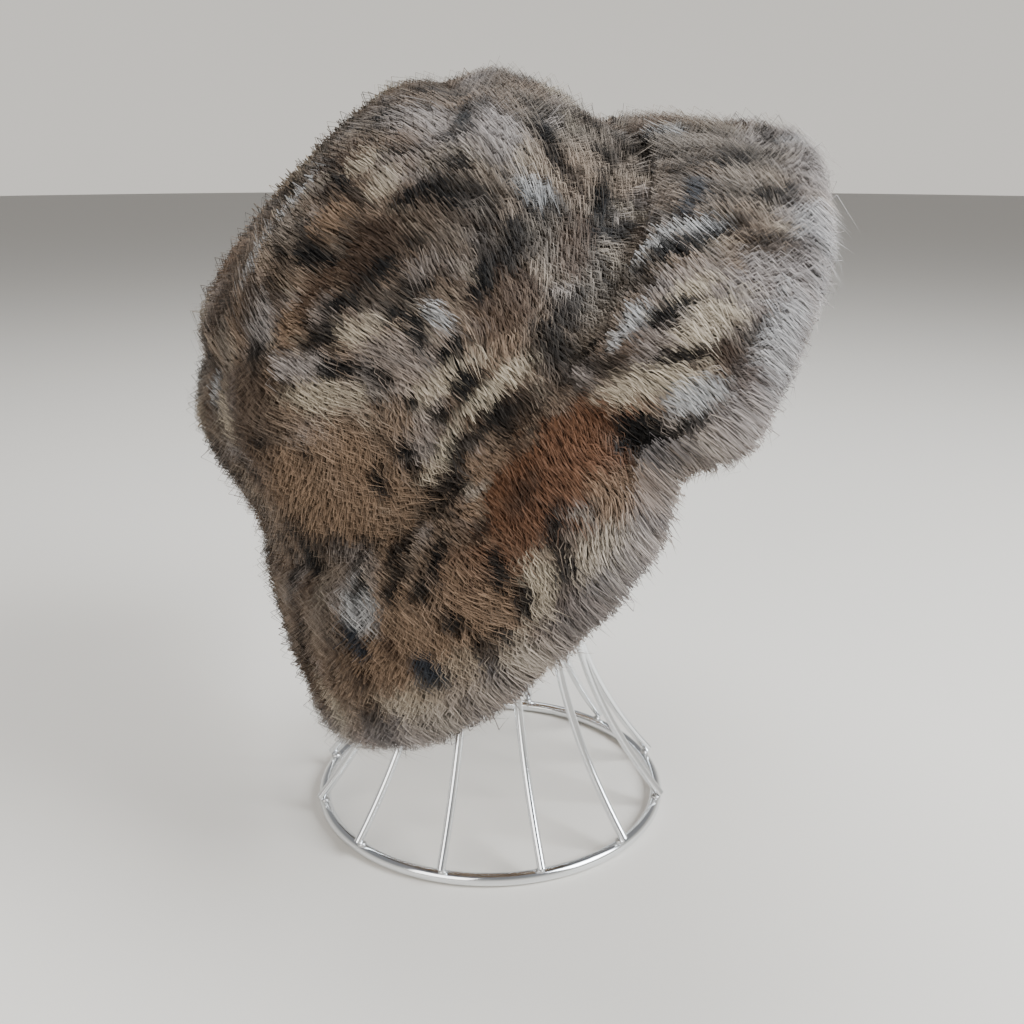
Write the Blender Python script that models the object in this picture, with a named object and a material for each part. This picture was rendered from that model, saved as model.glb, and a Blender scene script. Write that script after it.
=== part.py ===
"""Deep-pile fur bucket hat, tipped back on a plain wire hat stand.

Lengths are in metres and angles in degrees. The hat is modelled in its own frame, upright, with +X to its
front, +Z to its tip and the brim seam in the plane z = 0. It is then tipped back and seated on the stand,
whose axis is vertical. The whole object stands on z = 0 with the middle of its box above the origin.
"""
import math
from collections import namedtuple

import bmesh
import bpy
import numpy as np
from mathutils import Matrix, Vector
from mathutils.bvhtree import BVHTree

# Space kept between neighbouring pieces
CLEARANCE = 0.0003

# Hat: the pelt's leather
HEAD_DIAMETER = 0.184    # inside, at the brim seam
CROWN_DEPTH = 0.080      # from the brim seam to the top of the tip
HIDE = 0.0025            # thickness of the pelt's leather
TIP_SHARE = 0.47         # of the way from the tip's centre to the brim seam, where tip and side band are sewn
BRIM_WIDTH = 0.066       # along the slope, from seam to rim
BRIM_BULGE = 0.005       # how far the middle of the brim stands above a straight slope

# Hat: the fur
CROWN_PILE = 0.0125      # depth of the fur's backing on the crown
BRIM_PILE = 0.0105       # and on the brim
RIM_PILE = 0.0100        # fur that stands out past the rim
UNDER_PILE = 0.0050      # fur under the rim
UNDER_TURN = 0.016       # how far in it reaches there
LOCK_RISE = 0.0060       # height of a lock from its root to its tip
LOCK_ROWS = 3            # rows of points in one lock
LOCK_SUNK = 0.4          # share of that height that lies below the pile's mean depth
LOCK_VALLEY = 0.3        # share of it that the valley beside a lock has at its upper end
LOCK_REACH = 0.55        # share of a row by which a lock's tip hangs over the next course
LOCK_SWAY = 0.15         # share by which locks differ
RIM_TUFT = 0.6           # share of LOCK_RISE by which the tufts round the rim differ
SEAM_DIP = 0.35          # share of the pile that parts at the tip seam
SEAM_PARTING = 0.010     # half width of that parting
SEAM_OVERHANG = 0.0028   # how far the side band's last locks hang over the brim seam
SEAM_VALLEY = 0.3        # share of that overhang between two locks
SEAM_LIFT = 0.0015       # how far above the brim seam the side band's fur is rooted
BRIM_PARTING = 0.040     # distance from the seam over which the brim's fur rises to its full depth

# Hat: its place on the stand
TIP_BACK = 44.3          # the front is raised by this angle
LEAN = 15.4              # the tip leans this far to the wearer's right
FORM_FORWARD = 0.0225    # how far the stand's head form lies in front of the hat's axis

# Stand
RING_RADIUS = 0.0775     # centre line of the base ring
RING_WIRE = 0.0055
RIB_WIRE = 0.0038
RIB_COUNT = 12
FOOT_OVERREACH = 0.0025  # of a rib's foot past the ring's centre line
NECK_RADIUS = 0.0365
NECK_HEIGHT = 0.105      # above the feet
FORM_RADIUS = 0.0650     # widest part of the head form
FORM_RISE = 0.113        # from the neck to the widest part
DOME_RISE = 0.068        # from there to the button
BUTTON_RADIUS = 0.0105
BUTTON_HEIGHT = 0.0060
SEAT_SLACK = 0.05        # share of CLEARANCE within which the hat's seat is found

# Fineness of the meshes
CROWN_COLUMNS = 64       # points round the crown's fur, two to a lock
BRIM_COLUMNS = 80        # points round the brim's fur, two to a lock
SIDE_ROWS = 12           # rows of points down the side band's fur
BRIM_ROWS = 10           # rows of points down the brim's fur
HIDE_ROWS = 4            # rows of points down a piece of leather
TIP_RINGS = 3            # rings of points on the tip's leather
RING_STEPS = 36
RING_SIDES = 8
FLARE_STEPS = 4
SWELL_STEPS = 4
DOME_STEPS = 4
RIB_READINGS = 4         # points of each stretch of a rib that the hat is seated by
SEAT_TRIES = 200
RIM_ANGLES = (45, 90, 135)
PROFILE_STEPS = 24       # points read between two rows of the crown's profile
PROBE_TURN = 0.5         # half the stretch over which a surface's directions are read, round the hat
PROBE_SHARE = 0.001      # and down it, as a share of its length

# Crown: height as a share of CROWN_DEPTH, reach and forward as shares of half the hat's outer width
CrownRow = namedtuple("CrownRow", "height reach forward")
CROWN = [
    CrownRow(1.000, 0.00, 0.020),
    CrownRow(0.975, 0.36, 0.020),
    CrownRow(0.900, 0.63, 0.020),
    CrownRow(0.740, 0.815, 0.018),
    CrownRow(0.540, 0.91, 0.014),
    CrownRow(0.340, 0.96, 0.008),
    CrownRow(0.150, 0.985, 0.002),
    CrownRow(0.000, 1.00, 0.000),
]

# Brim: azimuth from the front towards the wearer's left, width as a share of BRIM_WIDTH, slope below level
BrimRow = namedtuple("BrimRow", "azimuth width slope")
BRIM = [
    BrimRow(-150, 1.21, 51.0),
    BrimRow(-120, 1.16, 48.5),
    BrimRow(-90, 1.06, 46.0),
    BrimRow(-74, 1.00, 45.0),
    BrimRow(-63, 0.85, 43.0),
    BrimRow(-55, 1.04, 40.0),
    BrimRow(-30, 1.00, 38.0),
    BrimRow(0, 0.96, 37.0),
    BrimRow(30, 0.90, 38.0),
    BrimRow(60, 0.92, 41.5),
    BrimRow(90, 1.00, 45.0),
    BrimRow(120, 1.12, 48.5),
    BrimRow(150, 1.19, 51.0),
    BrimRow(180, 1.24, 52.0),
]

# Dents of the brim: along and reach are shares of its width there, depth a share of BRIM_WIDTH, spread degrees
Dent = namedtuple("Dent", "azimuth along depth spread reach")
DENTS = [
    Dent(-63, 0.74, 0.150, 8.0, 0.30),
    Dent(-96, 0.95, 0.040, 9.0, 0.40),
    Dent(-28, 0.90, 0.030, 12.0, 0.40),
    Dent(35, 0.95, 0.050, 14.0, 0.40),
    Dent(140, 0.95, 0.050, 12.0, 0.40),
]

DENT_START = 0.3         # share of the brim's width over which a dent grows from the seam

# Button: radius as a share of BUTTON_RADIUS, height above its middle as a share of BUTTON_HEIGHT
ButtonRow = namedtuple("ButtonRow", "radius height")
BUTTON = [
    ButtonRow(0.0, 0.5),
    ButtonRow(0.6, 0.5),
    ButtonRow(1.0, 0.2),
    ButtonRow(1.0, -0.5),
    ButtonRow(0.0, -0.5),
]

# Finishes: colour, roughness and metallic value
Finish = namedtuple("Finish", "colour roughness metallic")
FINISHES = {
    "fur": Finish((0.26, 0.20, 0.15), 0.9, 0.0),
    "pelt_leather": Finish((0.48, 0.38, 0.28), 0.8, 0.0),
    "bright_wire": Finish((0.78, 0.80, 0.82), 0.15, 1.0),
}

OUTER_RADIUS = HEAD_DIAMETER / 2 + HIDE


def eased(share):
    """A rise from 0 to 1 that starts and ends level."""
    share = min(max(share, 0.0), 1.0)
    return share * share * (3 - 2 * share)


def bell(distance, spread):
    """A smooth hump, 1 in its middle."""
    return math.exp(-(distance / spread) ** 2)


def turn_between(a, b):
    """Angle from b to a, the short way round."""
    return (a - b + 180) % 360 - 180


def read_round(table, azimuth, column):
    """A column of a table whose rows lie round the hat, eased from row to row."""
    for before, after in zip(table, table[1:] + table[:1]):
        span = (after.azimuth - before.azimuth) % 360
        past = (azimuth - before.azimuth) % 360
        if past <= span:
            low, high = getattr(before, column), getattr(after, column)
            return low + (high - low) * eased(past / span)
    raise ValueError("the table doesn't go all the way round")


def through_points(points, steps):
    """A smooth curve through points, closely sampled (Catmull-Rom)."""
    points = np.array(points, float)
    curve = []
    for i in range(len(points) - 1):
        before, start = points[max(i - 1, 0)], points[i]
        end, after = points[i + 1], points[min(i + 2, len(points) - 1)]
        for t in np.linspace(0, 1, steps, endpoint=False):
            curve.append(0.5 * (2 * start + (end - before) * t
                                + (2 * before - 5 * start + 4 * end - after) * t ** 2
                                + (3 * start - before - 3 * end + after) * t ** 3))
    return np.array(curve + [points[-1]])


class Crown:
    """Outer face of the crown's leather, by azimuth and by the way down from the tip's centre."""

    def __init__(self):
        rows = [(row.reach * OUTER_RADIUS, row.height * CROWN_DEPTH + CLEARANCE / 2,
                 row.forward * OUTER_RADIUS) for row in CROWN]
        self.curve = through_points(rows, PROFILE_STEPS)
        steps = np.hypot(*np.diff(self.curve[:, :2], axis=0).T)
        self.way = np.concatenate([[0], np.cumsum(steps)])
        self.length = self.way[-1]
        self.tip_seam = self.length * TIP_SHARE

    def place(self, azimuth, way):
        """A point of the outer face. Past the brim seam it goes straight on down."""
        reach, height, forward = (np.interp(way, self.way, column) for column in self.curve.T)
        height -= max(way - self.length, 0.0)
        a = math.radians(azimuth)
        return Vector((reach * math.cos(a) + forward, reach * math.sin(a), height))

    def pile(self, way):
        """Depth of the fur's backing, which parts along the tip seam."""
        return CROWN_PILE * (1 - SEAM_DIP * bell(way - self.tip_seam, SEAM_PARTING))


class Brim:
    """Outer face of the brim's leather, by azimuth and by the share of the way from seam to rim."""

    length = 1.0

    def place(self, azimuth, share):
        """A point of the outer face."""
        slope = math.radians(read_round(BRIM, azimuth, "slope"))
        width = BRIM_WIDTH * read_round(BRIM, azimuth, "width")
        lift = BRIM_BULGE * math.sin(math.pi * min(max(share, 0.0), 1.0)) ** 2
        for dent in DENTS:
            lift -= (dent.depth * BRIM_WIDTH * bell(turn_between(azimuth, dent.azimuth), dent.spread)
                     * bell(share - dent.along, dent.reach) * eased(share / DENT_START))
        out = OUTER_RADIUS + width * share * math.cos(slope) + lift * math.sin(slope)
        up = -CLEARANCE / 2 - width * share * math.sin(slope) + lift * math.cos(slope)
        a = math.radians(azimuth)
        return Vector((out * math.cos(a), out * math.sin(a), up))

    def width(self, azimuth):
        """Width of the leather along the slope."""
        return BRIM_WIDTH * read_round(BRIM, azimuth, "width")

    def rise(self, azimuth, share):
        """Share of its full depth that the fur has, growing from the seam outwards."""
        return eased(share * self.width(azimuth) / BRIM_PARTING)


def directions(surface, azimuth, along):
    """The outward normal and the downhill direction of a surface."""
    turn, step = PROBE_TURN, surface.length * PROBE_SHARE
    here, low, high = max(along, step), max(along - step, step), max(along + step, 3 * step)
    round_hat = surface.place(azimuth + turn, here) - surface.place(azimuth - turn, here)
    down = surface.place(azimuth, high) - surface.place(azimuth, low)
    return down.cross(round_hat).normalized(), down.normalized()


def raised(surface, azimuth, along, distance):
    """The surface's point, moved out along its normal."""
    normal, _ = directions(surface, azimuth, along)
    return surface.place(azimuth, along) + normal * distance


def lock(row, column):
    """Rise and forward reach of a lock at one point of the fur, each a share of its most.

    Locks are tongues of LOCK_ROWS rows on every other column, staggered from one course to the next.
    """
    course, step = divmod(row, LOCK_ROWS)
    share = (step + 1) / LOCK_ROWS
    if (column + course) % 2:
        return LOCK_VALLEY * (1 - share), 0.0
    sway = 1 - LOCK_SWAY + LOCK_SWAY * math.sin(2.4 * column + 1.7 * course)
    return sway * math.sqrt(share), LOCK_REACH * sway * (step == LOCK_ROWS - 1)


def azimuths(count):
    """Azimuths of count columns."""
    return [360 * column / count for column in range(count)]


def level_ring(radius, height, count):
    """Points of a level circle about the Z axis."""
    return [Vector((radius * math.cos(math.radians(a)), radius * math.sin(math.radians(a)), height))
            for a in azimuths(count)]


def leather_ring(surface, along, distance, count):
    """A ring of a face of the leather, or of the fur's inner face."""
    return [raised(surface, azimuth, along, distance) for azimuth in azimuths(count)]


def bridge(bm, first, second):
    """Faces between two rings, of which one may have twice the points of the other, or be one point.

    Four-sided cells are cut along their shorter diagonal, so that neighbouring pieces are cut alike.
    """
    if len(first) > len(second):
        first, second = second, first
    count = len(first)
    for i in range(len(second)):
        j = (i + 1) % len(second)
        if count == 1:
            bm.faces.new((first[0], second[i], second[j]))
        elif count == len(second):
            falling = (first[i].co - second[j].co).length < (first[j].co - second[i].co).length
            bm.faces.new((first[i], second[i], second[j] if falling else first[j]))
            bm.faces.new((first[i] if falling else second[i], second[j], first[j]))
        elif i % 2:
            k = (i // 2 + 1) % count
            bm.faces.new((first[i // 2], second[i], first[k]))
            bm.faces.new((first[k], second[i], second[j]))
        else:
            bm.faces.new((first[i // 2], second[i], second[j]))


def body(name, rings, finish, parent):
    """A closed solid through the list of rings, from one pole to the other or all the way round."""
    bm = bmesh.new()
    loops = [[bm.verts.new(point) for point in ring] for ring in rings]
    for first, second in zip(loops, loops[1:]):
        bridge(bm, first, second)
    if len(loops[0]) > 1:
        bridge(bm, loops[-1], loops[0])
    bmesh.ops.recalc_face_normals(bm, faces=bm.faces)
    mesh = bpy.data.meshes.new(name)
    bm.to_mesh(mesh)
    bm.free()
    return placed(name, mesh, finish, parent)


def placed(name, data, finish, parent):
    """An object of the scene, under its parent."""
    obj = bpy.data.objects.new(name, data)
    if not data.materials:
        data.materials.append(material(finish))
    obj.parent = parent
    bpy.context.scene.collection.objects.link(obj)
    return obj


def material(name):
    """The material of a finish, made once."""
    if name in bpy.data.materials:
        return bpy.data.materials[name]
    made = bpy.data.materials.new(name)
    made.use_nodes = True
    shader = made.node_tree.nodes["Principled BSDF"]
    finish = FINISHES[name]
    shader.inputs["Base Color"].default_value = (*finish.colour, 1.0)
    shader.inputs["Roughness"].default_value = finish.roughness
    shader.inputs["Metallic"].default_value = finish.metallic
    return made


def empty(name, parent=None):
    """An empty that carries other objects."""
    obj = bpy.data.objects.new(name, None)
    obj.parent = parent
    bpy.context.scene.collection.objects.link(obj)
    return obj


def tip_leather(crown, hat):
    """The round top panel."""
    edge = crown.tip_seam - CLEARANCE / 2
    columns = CROWN_COLUMNS // 2
    ways = [edge * k / TIP_RINGS for k in range(1, TIP_RINGS + 1)]
    counts = [columns // 2] + [columns] * (TIP_RINGS - 1)
    outer = [leather_ring(crown, way, 0.0, count) for way, count in zip(ways, counts)]
    inner = [leather_ring(crown, way, -HIDE, count) for way, count in zip(ways, counts)]
    top = crown.place(0, 0)
    rings = [[top]] + outer + inner[::-1] + [[top - Vector((0, 0, HIDE))]]
    return body("crown_tip_hide", rings, "pelt_leather", hat)


def side_leather(crown, hat):
    """The side band."""
    ways = np.linspace(crown.tip_seam + CLEARANCE / 2, crown.length, HIDE_ROWS + 1)
    columns = CROWN_COLUMNS // 2
    outer = [leather_ring(crown, way, 0.0, columns) for way in ways]
    inner = [leather_ring(crown, way, -HIDE, columns) for way in ways]
    return body("crown_side_hide", outer + inner[::-1], "pelt_leather", hat)


def brim_shares():
    """Shares at which the brim's leather has a row of points. At the last but one the fur under it ends."""
    return [*np.linspace(0, 1 - UNDER_TURN / BRIM_WIDTH, HIDE_ROWS), 1.0]


def brim_leather(brim, hat):
    """The brim, whose inner edge is mitred to sit under the side band."""
    shares = brim_shares()
    columns = BRIM_COLUMNS // 2
    outer = [leather_ring(brim, share, 0.0, columns) for share in shares]
    inner = [leather_ring(brim, share, -HIDE, columns) for share in shares[1:]]
    seam = level_ring(HEAD_DIAMETER / 2, -CLEARANCE / 2, columns)
    return body("brim_hide", outer + inner[::-1] + [seam], "pelt_leather", hat)


def tip_fur(crown, hat):
    """Locks that lie outwards from the tip's centre, on a backing over the tip's leather."""
    edge = crown.tip_seam - CLEARANCE / 2
    step = (crown.length - crown.tip_seam) / SIDE_ROWS
    rows = round(edge / step)
    columns = CROWN_COLUMNS // 2
    outer = []
    for row in range(1, rows):
        count = {1: columns // 2, 2: columns, 3: columns}.get(row, CROWN_COLUMNS)
        outer.append(fur_ring(crown, edge * row / rows, edge / rows, row, count, crown.pile, row / rows))
    outer.append(leather_ring(crown, edge, CLEARANCE + crown.pile(edge), CROWN_COLUMNS))
    ways = [edge * k / TIP_RINGS for k in range(1, TIP_RINGS + 1)]
    counts = [columns // 2] + [columns] * (TIP_RINGS - 1)
    inner = [leather_ring(crown, way, CLEARANCE, count) for way, count in zip(ways, counts)]
    top = crown.place(0, 0)
    up = Vector((0, 0, 1))
    rings = [[top + up * (CLEARANCE + CROWN_PILE)]] + outer + inner[::-1] + [[top + up * CLEARANCE]]
    return body("crown_tip_fur", rings, "fur", hat)


def fur_ring(surface, along, step, row, count, pile, strength):
    """A ring of the fur's outer face, at one row of its locks."""
    ring = []
    for column, azimuth in enumerate(azimuths(count)):
        rise, reach = lock(row, column)
        distance = CLEARANCE + pile(along) + LOCK_RISE * (rise - LOCK_SUNK) * strength
        ring.append(raised(surface, azimuth, along + reach * step, distance))
    return ring


def side_fur(crown, hat):
    """Locks that lie down the side band. The last course hangs over the brim seam."""
    start = crown.tip_seam + CLEARANCE / 2
    step = (crown.length - start) / SIDE_ROWS
    outer = [leather_ring(crown, start, CLEARANCE + crown.pile(start), CROWN_COLUMNS)]
    for row in range(1, SIDE_ROWS):
        outer.append(fur_ring(crown, start + row * step, step, row, CROWN_COLUMNS, crown.pile, 1.0))
    fringe = []
    for column, azimuth in enumerate(azimuths(CROWN_COLUMNS)):
        rise, _ = lock(SIDE_ROWS, column)
        overhang = SEAM_OVERHANG * (1.0 if rise > LOCK_VALLEY else SEAM_VALLEY)
        fringe.append(raised(crown, azimuth, crown.length + overhang, CLEARANCE + crown.pile(crown.length)))
    ways = np.linspace(start, crown.length - SEAM_LIFT, HIDE_ROWS + 1)
    inner = [leather_ring(crown, way, CLEARANCE, CROWN_COLUMNS // 2) for way in ways]
    return body("crown_side_fur", outer + [fringe] + inner[::-1], "fur", hat)


def brim_fur(brim, hat):
    """Locks that lie down the brim, turn round its rim and end under it."""
    outer = []
    for row in range(BRIM_ROWS + 1):
        share = row / BRIM_ROWS
        ring = []
        for column, azimuth in enumerate(azimuths(BRIM_COLUMNS)):
            rise, reach = lock(row, column)
            grown = brim.rise(azimuth, share)
            distance = 2 * CLEARANCE + grown * (BRIM_PILE + LOCK_RISE * (rise - LOCK_SUNK))
            ring.append(raised(brim, azimuth, min(share + reach * grown / BRIM_ROWS, 1.0), distance))
        outer.append(ring)
    rim = []
    for angle in RIM_ANGLES:
        rim.append([rim_point(brim, azimuth, angle, column)
                    for column, azimuth in enumerate(azimuths(BRIM_COLUMNS))])
    columns = BRIM_COLUMNS // 2
    shares = brim_shares()
    under = [leather_ring(brim, shares[-1], -HIDE - CLEARANCE - UNDER_PILE, columns),
             leather_ring(brim, shares[-2], -HIDE - CLEARANCE - UNDER_PILE / 2, columns)]
    inner = [leather_ring(brim, share, -HIDE - CLEARANCE, columns) for share in shares[-2:]]
    inner += [edge_ring(brim, -HIDE - CLEARANCE, columns), edge_ring(brim, CLEARANCE, columns)]
    inner += [leather_ring(brim, share, CLEARANCE, columns) for share in shares[::-1]]
    return body("brim_fur", outer + rim + under + inner, "fur", hat)


def rim_point(brim, azimuth, angle, column):
    """A point of the fur that turns round the rim, by its angle from the brim's outer face."""
    normal, down = directions(brim, azimuth, 1.0)
    middle = brim.place(azimuth, 1.0) - normal * HIDE / 2
    tuft = RIM_PILE + LOCK_RISE * RIM_TUFT * (0.5 - column % 2)
    depth = BRIM_PILE if angle < 90 else UNDER_PILE
    a = math.radians(angle)
    return middle + down * tuft * math.sin(a) + normal * (HIDE / 2 + depth) * math.cos(a)


def edge_ring(brim, distance, count):
    """A ring just past the leather's rim."""
    ring = []
    for azimuth in azimuths(count):
        normal, down = directions(brim, azimuth, 1.0)
        ring.append(brim.place(azimuth, 1.0) + normal * distance + down * CLEARANCE)
    return ring


def rib_path():
    """Radius and height above the foot of a rib's centre line: flare, swell and dome."""
    foot = RING_RADIUS + FOOT_OVERREACH
    path = []
    for k in range(FLARE_STEPS):
        share = k / FLARE_STEPS
        path.append((NECK_RADIUS + (foot - NECK_RADIUS) * (1 - share) ** 2, NECK_HEIGHT * share))
    for k in range(SWELL_STEPS):
        share = k / SWELL_STEPS
        radius = NECK_RADIUS + (FORM_RADIUS - NECK_RADIUS) * eased(share)
        path.append((radius, NECK_HEIGHT + FORM_RISE * share))
    end = BUTTON_RADIUS * math.cos(math.pi / RIB_COUNT) + CLEARANCE
    last = math.acos((end + RIB_WIRE) / FORM_RADIUS)
    for k in range(DOME_STEPS + 1):
        angle = last * k / DOME_STEPS
        path.append((FORM_RADIUS * math.cos(angle), NECK_HEIGHT + FORM_RISE + DOME_RISE * math.sin(angle)))
    return path + [(end, path[-1][1])]


def foot_height(path):
    """Height of a rib's foot at which its side, or the inner edge of its cut end, just clears the ring."""
    (r0, z0), (r1, z1) = path[:2]
    angle = math.atan2(r0 - r1, z1 - z0)
    wire = RIB_WIRE / 2
    reach = RING_WIRE / 2 / math.cos(math.pi / RING_SIDES) + CLEARANCE
    side = (reach + wire - FOOT_OVERREACH * math.cos(angle)) / math.sin(angle)
    if FOOT_OVERREACH * math.sin(angle) >= side * math.cos(angle):
        return RING_WIRE / 2 + side
    past = FOOT_OVERREACH - wire * math.cos(angle)
    return RING_WIRE / 2 + wire * math.sin(angle) + math.sqrt(max(reach ** 2 - past ** 2, 0.0))


def rib_azimuths():
    """Turns of the ribs about the stand's axis, from the side that faces -Y."""
    return [360 * (k + 0.5) / RIB_COUNT for k in range(RIB_COUNT)]


def stand_ribs(stand):
    """The bent wires. They share one curve and are turned about the axis."""
    path = rib_path()
    foot = foot_height(path)
    curve = bpy.data.curves.new("stand_rib", "CURVE")
    curve.dimensions = "3D"
    curve.bevel_depth = RIB_WIRE / 2
    curve.bevel_resolution = 1
    curve.use_fill_caps = True
    spline = curve.splines.new("POLY")
    spline.points.add(len(path) - 1)
    for point, (radius, height) in zip(spline.points, path):
        point.co = (0, -radius, foot + height, 1)
    for number, turn in enumerate(rib_azimuths(), 1):
        rib = placed(f"stand_rib_{number:02d}", curve, "bright_wire", stand)
        rib.rotation_euler = (0, 0, math.radians(turn))


def stand_ring(stand):
    """The base ring, with a narrow flat underneath."""
    ring_points = []
    radius = RING_WIRE / 2 / math.cos(math.pi / RING_SIDES)
    for side in range(RING_SIDES):
        angle = 2 * math.pi * (side + 0.5) / RING_SIDES
        out, up = RING_RADIUS + radius * math.cos(angle), RING_WIRE / 2 + radius * math.sin(angle)
        ring_points.append(level_ring(out, up, RING_STEPS))
    return body("stand_base_ring", ring_points, "bright_wire", stand)


def stand_button(stand):
    """The button between the ribs' upper ends, with a flat for each rib."""
    _, height = rib_path()[-1]
    middle = foot_height(rib_path()) + height
    rings = []
    for row in BUTTON:
        count = RIB_COUNT if row.radius else 1
        rings.append(level_ring(row.radius * BUTTON_RADIUS, middle + row.height * BUTTON_HEIGHT, count))
    return body("stand_top_button", rings, "bright_wire", stand)


def rib_samples():
    """Closely spaced points of every rib's centre line."""
    path = rib_path()
    foot = foot_height(path)
    line = []
    for (r0, z0), (r1, z1) in zip(path, path[1:]):
        for t in np.linspace(0, 1, RIB_READINGS, endpoint=False):
            line.append((r0 + (r1 - r0) * t, foot + z0 + (z1 - z0) * t))
    line.append((path[-1][0], foot + path[-1][1]))
    samples = []
    for turn in rib_azimuths():
        a = math.radians(turn)
        samples += [Vector((radius * math.sin(a), -radius * math.cos(a), height)) for radius, height in line]
    return samples


def seat(hat, pieces):
    """Slides the hat on along its own axis until its inside is CLEARANCE from a rib, and leaves it there."""
    tilt = Matrix.Rotation(math.radians(LEAN), 4, "X") @ Matrix.Rotation(math.radians(-TIP_BACK), 4, "Y")
    form = Vector((0, 0, foot_height(rib_path()) + NECK_HEIGHT + FORM_RISE))
    trees = []
    for piece in pieces:
        mesh = piece.data
        trees.append(BVHTree.FromPolygons([v.co for v in mesh.vertices], [p.vertices for p in mesh.polygons]))
    samples = rib_samples()
    pulled = DOME_RISE + CROWN_DEPTH
    for _ in range(SEAT_TRIES):
        hat.matrix_basis = Matrix.Translation(form) @ tilt @ Matrix.Translation((-FORM_FORWARD, 0, pulled))
        into_hat = hat.matrix_basis.inverted()
        spare = min(tree.find_nearest(into_hat @ point)[3] for tree in trees for point in samples)
        spare -= RIB_WIRE / 2 + CLEARANCE
        if spare < CLEARANCE * SEAT_SLACK:
            break
        pulled -= spare


def centre_over_origin(whole):
    """Moves the object so that the middle of its box is over the origin."""
    bpy.context.view_layer.update()
    graph = bpy.context.evaluated_depsgraph_get()
    corners = []
    for obj in bpy.context.scene.objects:
        if obj.type != "EMPTY":
            shape = obj.evaluated_get(graph)
            mesh = shape.to_mesh()
            corners += [shape.matrix_world @ vertex.co for vertex in mesh.vertices]
            shape.to_mesh_clear()
    spans = np.array(corners)
    middle = (spans.min(axis=0) + spans.max(axis=0)) / 2
    whole.location = (-middle[0], -middle[1], 0)
    bpy.context.view_layer.update()


def main():
    """Clears the scene and builds the hat and its stand."""
    for obj in list(bpy.data.objects):
        bpy.data.objects.remove(obj, do_unlink=True)
    whole = empty("fur_hat_on_stand")
    hat, stand = empty("hat", whole), empty("stand", whole)
    crown, brim = Crown(), Brim()
    pieces = [tip_leather(crown, hat), side_leather(crown, hat), brim_leather(brim, hat)]
    furs = [tip_fur(crown, hat), side_fur(crown, hat), brim_fur(brim, hat)]
    stand_ring(stand)
    stand_ribs(stand)
    stand_button(stand)
    seat(hat, pieces + furs)
    centre_over_origin(whole)


main()
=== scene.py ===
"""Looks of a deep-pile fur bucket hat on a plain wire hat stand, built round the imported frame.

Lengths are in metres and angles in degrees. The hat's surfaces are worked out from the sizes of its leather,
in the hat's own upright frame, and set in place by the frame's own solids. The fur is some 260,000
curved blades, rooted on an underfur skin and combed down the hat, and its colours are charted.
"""
from __future__ import annotations

import logging
import math
from dataclasses import dataclass, field
from enum import Enum
from typing import Any, Callable, Dict, List, NamedTuple, Optional, Sequence, Tuple, Union

import bmesh
import bpy
import numpy as np
from mathutils import Matrix, Vector
from mathutils.bvhtree import BVHTree


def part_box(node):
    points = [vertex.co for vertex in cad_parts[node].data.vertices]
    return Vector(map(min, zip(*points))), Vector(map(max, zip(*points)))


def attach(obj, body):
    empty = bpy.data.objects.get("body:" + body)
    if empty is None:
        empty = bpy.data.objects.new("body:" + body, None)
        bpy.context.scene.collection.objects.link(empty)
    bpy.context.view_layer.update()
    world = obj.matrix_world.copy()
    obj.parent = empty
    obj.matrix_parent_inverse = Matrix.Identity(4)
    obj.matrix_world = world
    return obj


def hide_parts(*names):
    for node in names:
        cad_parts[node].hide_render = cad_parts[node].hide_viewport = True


log = logging.getLogger("fur_hat")

Colour = Tuple[float, float, float]
Surface = Callable[[np.ndarray, np.ndarray], np.ndarray]
BODY = "root"
# How far the coat reaches downhill and outwards, in shares of its length
COAT_REACH = (0.6, 0.45)
# Shifts that set layers of one noise apart
NOISE_ORIGIN = 1000.0
LAYER_SHIFT = 7.3


class Tone(Enum):
    """Colours of the fur, as reflectances."""

    BLACK = (0.0025, 0.0022, 0.0025)
    SOOT = (0.009, 0.0065, 0.005)
    BROWN = (0.058, 0.034, 0.021)
    RUST = (0.120, 0.055, 0.028)
    TAN = (0.225, 0.150, 0.098)
    GREY = (0.185, 0.158, 0.132)
    ASH = (0.290, 0.262, 0.250)
    CREAM = (0.420, 0.360, 0.275)
    FROST = (0.390, 0.395, 0.400)
    SLATE = (0.022, 0.026, 0.034)
    RIM = (0.420, 0.385, 0.380)


class CrownRow(NamedTuple):
    """A row of the crown's profile, in shares of its depth and of half the hat's outer width."""

    height: float
    reach: float
    forward: float


class BrimRow(NamedTuple):
    """The brim at one azimuth: width as a share of the brim's width, and slope below level."""

    azimuth: float
    width: float
    slope: float


class Dent(NamedTuple):
    """A dent of the brim: along and reach in shares of its width, depth of the brim's width."""

    azimuth: float
    along: float
    depth: float
    spread: float
    reach: float


class Mark(NamedTuple):
    """A marking: the pixel of its middle, its half length and half width in pixels, its turn and strength."""

    px: float
    py: float
    half_long: float
    half_wide: float
    turn: float
    tone: Tone
    strength: float = 1.0


class Layer(NamedTuple):
    """A layer of the mottled ground: its blobs' size, where it starts, how soon it is full, its strength."""

    tone: Tone
    scale: float
    shift: float
    start: float
    span: float
    strength: float
    streaked: bool = False


class Hair(NamedTuple):
    """A kind of hair: hairs for each square metre, length, width at the root, and how far it strays."""

    density: float
    length: float
    width: float
    stray: float


class Lamp(NamedTuple):
    """A square soft light: its place from the stand's axis, its side, power and colour."""

    name: str
    place: Tuple[float, float, float]
    size: float
    watts: float
    colour: Colour


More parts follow.
